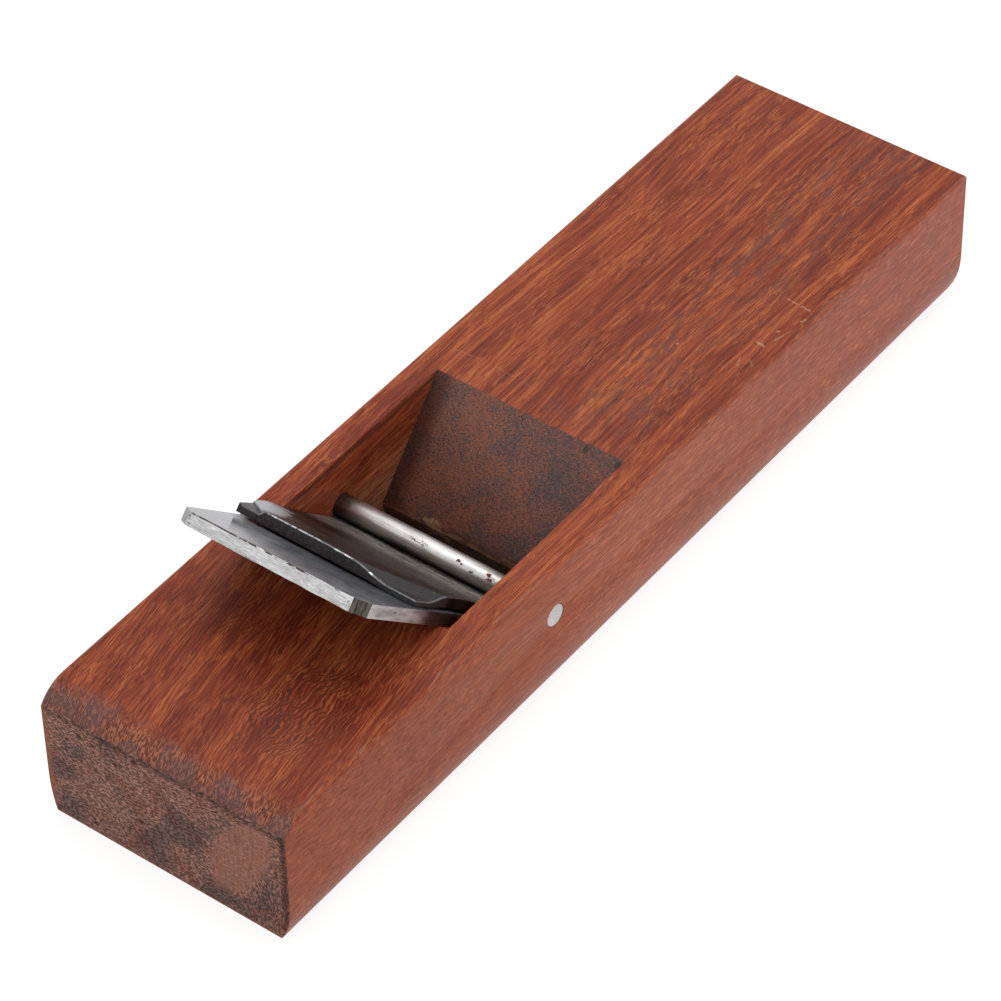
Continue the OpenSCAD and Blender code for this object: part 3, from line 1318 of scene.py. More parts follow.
@dataclass(frozen=True)
class IronSkin:
    """Forged iron: mirror-dark flat face, bright scratched head, burnt corners, mauve sides."""

    thick: float
    head: float
    head_stops: tuple[tuple[float, Colour], ...] = (
        (0.37, (0.150, 0.146, 0.146)), (0.44, (0.430, 0.425, 0.425)),
        (0.53, (0.620, 0.618, 0.622)), (0.61, (0.900, 0.900, 0.905)),
    )
    face_dark: Colour = (0.090, 0.094, 0.106)
    face_light: Colour = (0.240, 0.246, 0.262)
    inwards_tint: Colour = (0.60, 0.60, 0.61)
    bare_steel: Colour = (0.420, 0.418, 0.428)
    stain: Colour = (0.120, 0.068, 0.045)
    rust: Colour = (0.060, 0.034, 0.022)
    dirt: Colour = (0.090, 0.060, 0.045)
    scratch: Colour = (0.110, 0.068, 0.050)
    burnt_dark: Colour = (0.034, 0.028, 0.022)
    burnt_light: Colour = (0.135, 0.120, 0.098)
    burnt_left: Colour = (0.450, 0.400, 0.380)
    mauve_dark: Colour = (0.310, 0.280, 0.284)
    mauve_light: Colour = (0.520, 0.488, 0.490)
    side_rim: Colour = (0.62, 0.60, 0.58)
    side_dot: Colour = (0.040, 0.030, 0.028)
    # Painted shadow on the iron's sides where they enter the block
    side_shadow: Colour = (0.056, 0.042, 0.036)
    forge_dark: Colour = (0.060, 0.050, 0.047)
    forge_light: Colour = (0.190, 0.165, 0.155)
    gloss: Colour = (0.72, 0.72, 0.75)

    def flat_face(self, r: Recipe, at: Survey) -> tuple[Socket, Socket]:
        """Colour of the flat face: dull blue-grey, bare steel towards the left of the head.

        Args:
            r: The recipe.
            at: Place and direction of the surface.

        Returns:
            The colour and the share of bare steel.
        """
        head = self.head / MM
        haze = r.mottle(at.spot, (0.09, 0.14, 0.2), detail=3, rough=0.6)
        brushed = r.mottle(at.spot, (1.3, 0.10, 0.5), detail=4, rough=0.65, turn=(0, 0, 16))
        tone = r.rise(r.weigh((haze, 0.4), (brushed, 0.6)), 0.40, 0.60)
        colour = r.mix(tone, self.face_dark, self.face_light)
        leftwards = r.most(at.y, 2.0)
        diagonal = r.weigh((at.x, 1.0), (leftwards, -0.85), (r.wander(at.spot, (6, 5, 6), 1), 2.0))
        bare = r.rise(diagonal, head + 7.6, head - 1.0)
        bare = r.times(bare, r.rise(at.y, -20, 4, 0.5))
        bare = r.math("ADD", bare, r.rise(at.y, 6, 12, 0.5), clamp=True)
        bare = r.times(bare, r.rise(diagonal, head + 7.6, head - 1.0))
        inwards = r.times(r.rise(at.x, head + 3, head + 13), r.rise(at.y, 14, 2))
        colour = r.mix(inwards, colour, self.inwards_tint, "MULTIPLY")
        colour = r.mix(bare, colour, self.bare_steel)
        stain = r.mottle(at.spot, (0.5, 0.16, 0.5), detail=4, rough=0.65)
        stained = r.times(r.rise(stain, 0.56, 0.66, 0.6), r.rise(at.x, head + 16, head + 22))
        return r.mix(stained, colour, self.stain), bare

    def stained_head(
        self, r: Recipe, at: Survey, on_head: Socket, colour: Socket
    ) -> tuple[Socket, Socket]:
        """Paints the head's rust line, dirt and scratches.

        Args:
            r: The recipe.
            at: Place and direction of the surface.
            on_head: Share of the head's face.
            colour: The colour underneath.

        Returns:
            The colour and the share of rust.
        """
        thick = self.thick / MM
        level = r.shake(at.z, at.spot, (4, 3.5, 4), 2, 0.25)
        line = r.rise(level, -0.42, -0.22)
        speck = r.mottle(at.spot, (0.4, 0.45, 0.8), detail=3, rough=0.65)
        broken = r.rise(r.total(speck, r.rise(at.y, -2, 14, 0.12)), 0.49, 0.56)
        broken = r.times(broken, r.band(at.y, -19, 21.3, 1.2))
        at_edge = r.most(on_head, r.rise(at.nx, -0.15, -0.4))
        rust = r.times(line, broken, at_edge)
        colour = r.mix(rust, colour, self.rust)
        under = r.rise(r.mottle(at.spot, (0.6, 0.3, 1.4), detail=4, rough=0.7), 0.56, 0.68)
        low = r.times(r.rise(level, -thick + 0.7, -thick), on_head)
        dirt = r.times(under, low, 0.8)
        colour = r.mix(dirt, colour, self.dirt)
        shaky = r.shake(at.y, at.spot, (0.5, 0.4, 0.4), 0, 1.6)
        scratches = (
            ((21.4, -0.4), (20.9, -1.6)), ((21.0, -2.0), (20.6, -2.7)), ((-20.7, -0.9), (-20.8, -1.7)),
        )
        for start, end in scratches:
            near = r.times(r.stroke(shaky, level, start, end, 0.16), on_head)
            colour = r.mix(r.times(near, 0.85), colour, self.scratch)
        return colour, rust

    def burnt_corner(self, r: Recipe, at: Survey) -> Socket:
        """Colour of the cut corners: burnt olive-brown, streaked across.

        Args:
            r: The recipe.
            at: Place and direction of the surface.

        Returns:
            The colour.
        """
        bars = r.mottle(at.spot, (1.3, 1.3, 0.20), detail=3, rough=0.6)
        burnt = r.mix(r.rise(bars, 0.34, 0.70), self.burnt_dark, self.burnt_light)
        return r.mix(r.rise(at.y, 5, 15, 0.75), burnt, self.burnt_left)

    def side(self, r: Recipe, at: Survey) -> Socket:
        """Colour of the sides: mauve-grey, with painted shadow where they enter the block.

        Args:
            r: The recipe.
            at: Place and direction of the surface.

        Returns:
            The colour.
        """
        thick = self.thick / MM
        cloud = r.mottle(at.spot, (0.22, 0.5, 0.8), detail=3)
        mauve = r.mix(r.rise(cloud, 0.35, 0.65), self.mauve_dark, self.mauve_light)
        mauve = r.mix(r.rise(at.z, -thick + 0.55, -thick + 0.15, 0.7), mauve, self.side_rim)
        dot = r.ellipse(at.x, at.z, (-77.5, -1.2), (0.5, 0.32))
        mauve = r.mix(r.times(dot, 0.85), mauve, self.side_dot)
        # Painted shadow: the sides darken towards where they enter the block.
        ragged = r.shake(at.x, at.spot, (3, 3, 1.5), 0, 4.0)
        return r.mix(r.rise(ragged, -67.5, -62.5, 0.88), mauve, self.side_shadow)

    def material(self, bed: "Bed") -> bpy.types.Material:
        """Makes the finish of the iron's soft back.

        Args:
            bed: The bed, in whose frame the marks lie.

        Returns:
            The material.
        """
        r = Recipe("forged_iron")
        at = bed.survey(r)
        colour, bare = self.flat_face(r, at)
        rough = r.blend(bare, 0.34, 0.20)
        metal = r.blend(bare, 0.22, 0.85)
        # Head: bright, ground along its width
        on_head = r.rise(at.nx, -0.60, -0.82)
        long = r.mottle(at.spot, (1.0, 0.30, 6.5), detail=3, rough=0.65)
        short = r.mottle(at.spot, (1.0, 0.85, 5.2), detail=4, rough=0.75, turn=(9, 0, 0))
        blots = r.mottle(at.spot, (0.4, 0.16, 0.5), detail=2)
        lines = r.weigh((long, 0.40), (short, 0.35), (blots, 0.25))
        colour = r.mix(on_head, colour, r.ramp(lines, self.head_stops))
        colour, rust = self.stained_head(r, at, on_head, colour)
        rough = r.blend(on_head, rough, r.blend(lines, 0.30, 0.42))
        metal = r.blend(on_head, metal, 1.0)
        # Corners and sides
        corner = r.times(r.band(at.nx, -0.85, -0.50, 0.06), r.rise(r.size(at.ny), 0.45, 0.6))
        colour = r.mix(corner, colour, self.burnt_corner(r, at))
        metal = r.most(metal, corner)
        on_side = r.rise(r.size(at.ny), 0.80, 0.95)
        colour = r.mix(on_side, colour, self.side(r, at))
        rough = r.blend(on_side, rough, 0.42)
        metal = r.most(metal, on_side)
        # Underside: forge skin
        below = r.rise(at.nz, -0.6, -0.85)
        skin = r.mottle(at.spot, (0.5, 0.5, 0.5), detail=4, rough=0.65)
        forge = r.mix(r.rise(skin, 0.35, 0.65), self.forge_dark, self.forge_light)
        colour = r.mix(below, colour, forge)
        rough = r.blend(below, rough, 0.55)
        scored = r.times(lines, r.most(on_head, r.times(below, 0.6)))
        fine = r.mottle(at.spot, (0.25, 5.0, 2.0), detail=2)
        height = r.total(scored, r.times(fine, 0.02))
        return r.finish(
            Base_Color=colour,
            Metallic=r.times(metal, r.rise(rust, 1.0, 0.0)),
            Roughness=rough,
            Specular_IOR_Level=0.05,
            Specular_Tint=self.gloss,
            Normal=r.bump(height, 0.000025),
        )


@dataclass(frozen=True)
class HardSteel:
    """Ground and polished hard steel, with fine lines along the cut."""

    light: Colour = (0.640, 0.650, 0.670)
    dark: Colour = (0.440, 0.445, 0.460)

    def material(self, bed: "Bed") -> bpy.types.Material:
        """Makes the hard steel.

        Args:
            bed: The bed, in whose frame the lines run.

        Returns:
            The material.
        """
        r = Recipe("hard_steel")
        spot = bed.paint_place(r)
        lines = r.mottle(spot, (0.12, 3.5, 3.0), detail=3, rough=0.65)
        cloud = r.mottle(spot, (0.12, 0.12, 0.12), detail=3)
        tone = r.rise(r.weigh((lines, 0.6), (cloud, 0.4)), 0.38, 0.62)
        return r.finish(
            Base_Color=r.mix(tone, self.dark, self.light),
            Metallic=1.0,
            Roughness=r.blend(tone, 0.26, 0.16),
            Normal=r.bump(lines, 0.000004),
        )


@dataclass(frozen=True)
class HammeredSteel:
    """Chip breaker's skin: charcoal head face, brown-black top with a brushed satin band."""

    head: float
    half: float
    shift: float
    right_ear: tuple[float, float]
    left_ear: tuple[float, float]
    skin_dark: Colour = (0.036, 0.022, 0.019)
    skin_light: Colour = (0.080, 0.056, 0.050)
    satin: Colour = (0.860, 0.785, 0.710)
    ear_black: Colour = (0.028, 0.028, 0.030)
    hump_blue: Colour = (0.500, 0.515, 0.560)
    ear_flat: Colour = (0.150, 0.155, 0.172)
    ear_crease: Colour = (0.030, 0.022, 0.020)
    speck: Colour = (0.420, 0.370, 0.320)
    charcoal_dark: Colour = (0.026, 0.024, 0.024)
    charcoal_light: Colour = (0.056, 0.052, 0.053)
    grit: Colour = (0.300, 0.280, 0.260)
    charcoal_tint: Colour = (0.78, 0.92, 0.98)
    gloss: Colour = (0.70, 0.68, 0.66)

    def material(self, bed: "Bed") -> bpy.types.Material:
        """Makes the finish of the plate.

        Args:
            bed: The bed, in whose frame the marks lie.

        Returns:
            The material.
        """
        r = Recipe("hammered_steel")
        spot = bed.paint_place(r)
        x, y, _ = r.split(spot)
        nx, _, _ = bed.paint_normal(r)
        head, half, shift = self.head / MM, self.half / MM, self.shift / MM
        right_x, right_y = (reach / MM for reach in self.right_ear)
        left_x, left_y = (reach / MM for reach in self.left_ear)
        brush = r.mottle(spot, (2.6, 0.10, 1.0), detail=4, rough=0.65)
        cloud = r.mottle(spot, (0.20, 0.10, 0.2), detail=3, rough=0.6)
        cross = r.mottle(spot, (0.5, 1.2, 1.0), detail=3, rough=0.7, turn=(0, 0, 20))
        colour = r.mix(r.rise(cloud, 0.35, 0.65), self.skin_dark, self.skin_light)
        reach = r.shake(x, spot, (12, 16, 9), 0, 9.0)
        satin = r.band(reach, head + 30, head + 42, 6.0)
        satin = r.times(satin, r.rise(r.weigh((brush, 0.7), (cross, 0.3)), 0.36, 0.64))
        colour = r.mix(satin, colour, self.satin)
        corner = head / right_x - half / right_y
        ear = r.rise(r.weigh((x, 1 / right_x), (y, 1 / right_y)), corner + 1.12, corner + 0.90)
        colour = r.mix(r.times(ear, 0.9), colour, self.ear_black)
        turn_in = r.weigh((x, 1 / left_x), (y, -1 / left_y))
        edge = head / left_x - (half + shift) / left_y + 0.95
        uneven = r.wander(spot, (4, 5, 4), 0)
        hump = r.ellipse(
            r.weigh((x, 1.0), (uneven, 5.0)), r.weigh((y, 1.0), (uneven, -6.0), (cross, 3.0)),
            (head + 6.5, half - 0.5), (9.5, 7.5),
        )
        hump = r.times(r.rise(hump, 0.0, 1.2), r.rise(turn_in, edge - 0.1, edge + 0.1))
        colour = r.mix(hump, colour, self.hump_blue)
        flat = r.times(r.rise(turn_in, edge, edge - 0.2), r.rise(y, half - 8, half - 6))
        colour = r.mix(r.times(flat, 0.8), colour, self.ear_flat)
        crease = r.band(turn_in, edge - 0.045, edge + 0.045, 0.05)
        colour = r.mix(r.times(crease, 0.85), colour, self.ear_crease)
        rough = r.blend(r.rise(brush, 0.3, 0.7), 0.30, 0.44)
        rough = r.blend(satin, rough, 0.44)
        specks = r.cells(r.place((0.6, 0.45, 0.6), source=spot))
        specks = r.times(r.rise(specks, 0.16, 0.07), r.rise(cloud, 0.42, 0.58))
        colour = r.mix(r.times(specks, 0.6), colour, self.speck)
        on_head = r.rise(nx, -0.55, -0.80)
        grit = r.mottle(spot, (1.4, 0.9, 2.2), detail=4, rough=0.7)
        charcoal = r.mix(r.rise(grit, 0.36, 0.66), self.charcoal_dark, self.charcoal_light)
        charcoal = r.mix(r.rise(grit, 0.66, 0.72, 0.5), charcoal, self.grit)
        charcoal = r.mix(r.rise(y, -12, -17), charcoal, self.charcoal_tint, "MULTIPLY")
        colour = r.mix(on_head, colour, charcoal)
        rough = r.blend(on_head, rough, 0.48)
        height = r.weigh((brush, 0.5), (r.blend(on_head, grit, 0.5), 0.5))
        return r.finish(
            Base_Color=colour,
            Metallic=r.blend(ear, 0.9, 0.2),
            Roughness=rough,
            Specular_IOR_Level=0.2,
            Specular_Tint=self.gloss,
            Normal=r.bump(height, 0.00002),
        )


@dataclass(frozen=True)
class WornEdge:
    """Edge of the chip breaker, rubbed bright in places."""

    dull: Colour = (0.110, 0.104, 0.104)
    bright: Colour = (0.640, 0.655, 0.675)

    def material(self, bed: "Bed") -> bpy.types.Material:
        """Makes the finish of the worn edge.

        Args:
            bed: The bed, in whose frame the marks lie.

        Returns:
            The material.
        """
        r = Recipe("worn_edge")
        spot = bed.paint_place(r)
        _, y, z = r.split(spot)
        nicks = r.mottle(spot, (1.6, 1.1, 1.6), detail=4, rough=0.75)
        top_side = r.rise(z, 0.9, 1.3)
        dulled = r.most(r.band(y, -5.6, -0.6, 0.6), r.band(y, -11.5, -10.2, 0.4))
        dulled = r.most(dulled, r.rise(y, 0.5, 3.5, 0.75), 0.14)
        rubbed = r.times(r.rise(nicks, 0.40, 0.56), r.rise(y, 20, 16))
        rubbed = r.times(rubbed, top_side, dulled)
        colour = r.mix(rubbed, self.dull, self.bright)
        return r.finish(
            Base_Color=colour,
            Metallic=0.95,
            Roughness=r.blend(rubbed, 0.40, 0.28),
            Normal=r.bump(nicks, 0.00002),
        )


@dataclass(frozen=True)
class SatinRod:
    """Satin steel rod with rust specks, scratches and a brown end; painted shade towards the right and
    painted dark reflections along its lower side and far edge.
    """

    steel_dark: Colour = (0.470, 0.455, 0.440)
    steel_light: Colour = (0.720, 0.705, 0.690)
    rust: Colour = (0.170, 0.042, 0.022)
    pit: Colour = (0.050, 0.030, 0.024)
    left_brown: Colour = (0.075, 0.050, 0.038)
    # Painted shade towards the pin's right end
    right_shade_tint: Colour = (0.66, 0.64, 0.62)
    # Painted dark reflection on the rod's lower side
    lower_side_dark_reflection: Colour = (0.105, 0.092, 0.084)
    # Painted reflection of the dark wall on the rod's far edge
    far_edge_wall_reflection: Colour = (0.110, 0.078, 0.060)
    end_dark: Colour = (0.470, 0.450, 0.430)
    end_light: Colour = (0.560, 0.540, 0.520)

    def material(self, centre: Vector, half_length: float) -> bpy.types.Material:
        """Makes the rod's finish.

        Args:
            centre: Middle of the rod.
            half_length: Half its length.

        Returns:
            The material.
        """
        r = Recipe("satin_rod")
        spot = r.place(scale=IN_MM)
        x, y, z = r.split(spot)
        lines = r.mottle(spot, (4.0, 0.10, 4.0), detail=3, rough=0.6)
        cloud = r.mottle(spot, (0.3, 0.2, 0.3), detail=3)
        tone = r.weigh((lines, 0.6), (cloud, 0.4))
        steel = r.mix(r.rise(tone, 0.36, 0.64), self.steel_dark, self.steel_light)
        right = r.times(r.rise(y, -12, -22), r.rise(y, -31.5, -30.5))
        specks = r.mottle(spot, (1.3, 0.75, 1.3), detail=4, rough=0.7)
        rust = r.times(r.rise(specks, 0.565, 0.60), right)
        middle = centre / MM
        down = r.weigh((r.math("SUBTRACT", x, middle.x), -0.77), (r.math("SUBTRACT", z, middle.z), -0.64))
        shaky_y = r.shake(y, spot, (0.5, 0.4, 0.5), 0, 1.6)
        shaky = r.shake(down, spot, (0.6, 0.5, 0.6), 1, 1.1)
        for spot_y, level, size in (
            (-7.3, -1.0, 0.45), (-8.4, -0.6, 0.3), (-15.3, -1.2, 0.5), (-15.9, -0.2, 0.55),
            (-11.2, 0.1, 0.35), (-22.8, -0.5, 0.5), (-21.4, 0.4, 0.45), (-18.4, 0.6, 0.35),
        ):
            blot = r.ellipse(shaky_y, shaky, (spot_y, level), (1.5 * size, size))
            rust = r.most(rust, r.rise(blot, 0.1, 0.6))
        for start, end in (((6.0, -0.9), (2.6, -0.3)), ((2.8, -0.5), (0.6, 0.4)), ((3.0, -1.0), (0.8, -0.7))):
            rust = r.most(rust, r.stroke(y, shaky, start, end, 0.08))
        pits = r.rise(r.cells(r.place((0.9, 0.9, 0.9), source=spot)), 0.20, 0.12)
        pitted = r.rise(r.total(r.times(y, -1.0), r.wander(spot, (5, 5, 5), 2)), 14, 20)
        pits = r.times(pits, pitted, r.rise(y, -31.5, -30.5))
        left = r.rise(r.shake(y, spot, (3, 3, 3), 0, 5.0), 19, 24.5)
        left = r.times(left, r.rise(y, 31.5, 30.5))
        marked = r.most(rust, pits)
        colour = r.mix(rust, steel, self.rust)
        colour = r.mix(pits, colour, self.pit)
        colour = r.mix(r.times(left, 0.85), colour, self.left_brown)
        inside = r.rise(r.size(y), 31.5, 30.5)
        # Painted shade: the rod darkens towards its right end inside the mortise.
        shaded = r.times(r.rise(y, -10, -24), inside)
        colour = r.mix(shaded, colour, self.right_shade_tint, "MULTIPLY")
        # Painted dark reflection along the rod's lower side, stronger towards the right.
        lower = r.total(down, r.rise(y, -4, -22, 0.7))
        lower_side_dark_reflection = r.times(r.rise(lower, -0.3, 1.6, 0.92), inside)
        colour = r.mix(lower_side_dark_reflection, colour, self.lower_side_dark_reflection)
        # Painted reflection of the dark wall along the far upper edge, towards the right end.
        far = r.times(r.rise(down, -1.1, -2.3), r.rise(y, -6, -22, 0.9))
        colour = r.mix(r.times(far, inside), colour, self.far_edge_wall_reflection)
        ends = r.rise(r.size(y), half_length / MM - 0.25, half_length / MM - 0.1)
        grey = r.mix(r.rise(cloud, 0.35, 0.65), self.end_dark, self.end_light)
        colour = r.mix(ends, colour, grey)
        return r.finish(
            Base_Color=colour,
            Metallic=r.math("SUBTRACT", 1.0, r.times(marked, 0.85)),
            Roughness=r.blend(marked, r.blend(tone, 0.32, 0.42), 0.8),
            Normal=r.bump(lines, 0.000008),
        )


# ---------------------------------------------------------------------------------------------
# The plane's own parts
# ---------------------------------------------------------------------------------------------


@dataclass
class Bed:
    """The sloping bed's own frame: X runs down the bed, Z out of the iron's flat face."""

    angle: float = 42.5
    toe_to_edge: float = 145.2 * MM
    shift: float = 1.05 * MM
    edge_x: float = field(init=False)

    def __post_init__(self) -> None:
        """Finds the cutting line from the block's toe end."""
        self.edge_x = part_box("body_block")[1].x - self.toe_to_edge

    def matrix(self) -> Matrix:
        """The bed's place in the block's frame."""
        turn = Matrix.Rotation(math.radians(self.angle), 4, "Y")
        return Matrix.Translation((self.edge_x, self.shift, 0)) @ turn

    def paint_place(self, recipe: Recipe) -> Socket:
        """Place in the bed's frame, in millimetres.

        Args:
            recipe: The material that reads it.

        Returns:
            The place.
        """
        origin = self.matrix().inverted().translation * 1000
        return recipe.place(scale=IN_MM, turn=(0, -self.angle, 0), shift=tuple(origin))

    def survey(self, recipe: Recipe) -> Survey:
        """Place and direction of the surface in the bed's frame.

        Args:
            recipe: The material that reads them.

        Returns:
            Both, with their parts.
        """
        spot = self.paint_place(recipe)
        return Survey(spot, *recipe.split(spot), *self.paint_normal(recipe))

    def paint_normal(self, recipe: Recipe) -> tuple[Socket, Socket, Socket]:
        """The surface's normal in the bed's frame, as three values.

        Args:
            recipe: The material that reads it.

        Returns:
            Its parts along the bed, across it and out of it.
        """
        facing = recipe.node("ShaderNodeNewGeometry").outputs["Normal"]
        axes = self.matrix().to_3x3().transposed()
        return tuple(recipe.vector("DOT_PRODUCT", facing, tuple(axis)) for axis in axes)


def arc_drop(run: float, drop: float, along: float) -> float:
    """How far an arc has dropped.

    Args:
        run: Length over which the arc goes from flat to its full drop.
        drop: Its full drop.
        along: Distance from where it is flat.

    Returns:
        The drop at that distance.
    """
    radius = (run * run + drop * drop) / (2 * drop)
    return radius - math.sqrt(radius * radius - along * along)


@dataclass
class Block:
    """Hardwood block with its worn tail, mortise, mouth and pin hole."""

    bed: Bed
    top_edge: float = 1.2 * MM
    ease: float = 10.5 * MM
    lean: tuple[float, float] = (2.7 * MM, 1.3 * MM)
    tail_wear: tuple[float, float] = (7.5 * MM, 4 * MM)
    arris: float = 0.35 * MM
    mortise_w: float = 51.2 * MM
    mortise_shift: float = 0.35 * MM
    iron_t: float = 3.12 * MM
    mouth_gap: float = 0.8 * MM
    past: float = 1 * MM
    knee: tuple[float, float] = (2 * MM, 11 * MM)
    front_angle: float = 49.5
    hole_gap: float = 0.06 * MM
    steps: int = 9
    levels: int = 5
    rim_steps: int = 6
    low: Vector = field(init=False)
    high: Vector = field(init=False)

    def __post_init__(self) -> None:
        """Reads the block's box."""
        self.low, self.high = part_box("body_block")

    def top_at(self, x: float) -> float:
        """Height of the top at a place along the block."""
        run, drop = self.tail_wear
        return self.high.z - arc_drop(run, drop, max(0.0, self.low.x + run - x))

    def outside(self) -> Workpiece:
        """Shapes the outside of the block.

        Returns:
            The block before the mortise and the hole are cut.
        """
        piece = Workpiece.cuboid("block", self.low, self.high)
        run = self.tail_wear[0]
        ease = self.ease
        wear_and_crease_shadow = [
            self.low.x + run * (1 - math.sin(math.pi / 2 * step / self.steps))
            for step in range(self.steps + 1)
        ]
        levels = [ease * step / self.levels for step in range(self.levels + 1)]
        with piece.editing():
            for x in wear_and_crease_shadow[:-1]:
                piece.slice((x, 0, 0), (1, 0, 0))
            for z in levels[1:]:
                piece.slice((0, 0, z), (0, 0, 1))
            for z in levels:
                for side, lean in zip((-1, 1), self.lean):
                    piece.pick(Domain.POINTS, lambda p: abs(p.z - z) < TINY and p.y * side > 0)
                    piece.move((0, -side * arc_drop(ease, lean, ease - z), 0))
            piece.pick(Domain.EDGES, self.on_rim)
            piece.bevel(self.top_edge, self.rim_steps)
        piece.sculpt(self.worn)
        return piece

    def on_rim(self, start: Vector, end: Vector) -> bool:
        """Tells whether an edge is one of the top's long edges or its edge at the toe.

        Args:
            start: One end of the edge.
            end: Its other end.

        Returns:
            Whether it is.
        """
        rim = all(abs(p.y) > self.high.y - TINY and p.z > self.high.z - TINY for p in (start, end))
        return rim and (start.y * end.y > 0 or min(start.x, end.x) > self.high.x - TINY)

    def worn(self, place: Vector) -> Vector:
        """Lowers a point of the top by as much as the tail is worn there.

        Args:
            place: Where the point is.

        Returns:
            Where it goes.
        """
        drop = self.high.z - self.top_at(place.x)
        on_top = place.z > self.high.z - 2 * self.top_edge
        return Vector((place.x, place.y, place.z - drop)) if on_top else place

    def mortise(self) -> Workpiece:
        """Shapes the cutter that leaves the bed, the mouth, the knee and the front wall.

        Returns:
            The cutter.
        """
        past = self.past
        angle = math.radians(self.bed.angle)
        foot = self.bed.edge_x - self.iron_t / math.sin(angle)
        mouth = self.bed.edge_x + self.mouth_gap
        back, knee_z = self.knee
        knee_x = mouth - back
        top = self.high.z + past
        outline = [
            (foot + past / math.tan(angle), -past),
            (mouth + past * back / knee_z, -past),
            (knee_x, knee_z),
            (knee_x + (top - knee_z) / math.tan(math.radians(self.front_angle)), top),
            (foot - top / math.tan(angle), top),
        ]
        reach = self.mortise_w / 2
        return Workpiece.prism(
            "mortise_cutter", outline, self.mortise_shift - reach, self.mortise_shift + reach
        )

    def build(self, pin: "CrossPin") -> None:
        """Builds and dresses the block.

        Args:
            pin: The pin whose hole is drilled.
        """
        piece = self.outside()
        piece.subtract(self.mortise())
        width = self.high.y - self.low.y
        hole = Workpiece.rod(
            "hole_cutter", pin.centre, pin.radius + self.hole_gap, width + 2 * self.past, pin.sides
        )
        piece.subtract(hole)
        piece.ease(self.arris, 3, 33)
        piece.shade()
        piece.dress(Hardwood().material())
        piece.stand_for("body_block", "block", "block_wood")


@dataclass
class CrossPin:
    """Steel rod across the mortise."""

    bevel: float = 0.3 * MM
    sides: int = 64
    centre: Vector = field(init=False)
    radius: float = field(init=False)
    half: float = field(init=False)

    def __post_init__(self) -> None:
        """Reads the pin's place and size."""
        low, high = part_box("cross_pin")
        self.centre = (low + high) / 2
        self.radius = (high.z - low.z) / 2
        self.half = (high.y - low.y) / 2

    def build(self) -> None:
        """Builds and dresses the pin."""
        piece = Workpiece.rod("cross_pin_rod", self.centre, self.radius, 2 * self.half, self.sides)
        with piece.editing():
            piece.pick(Domain.FACES, lambda c, n: abs(n.y) > 0.9)
            bpy.ops.mesh.region_to_loop()
            piece.bevel(self.bevel, 3)
        piece.shade()
        piece.dress(SatinRod().material(self.centre, self.half))
        piece.stand_for("cross_pin", "block", "pin_steel")


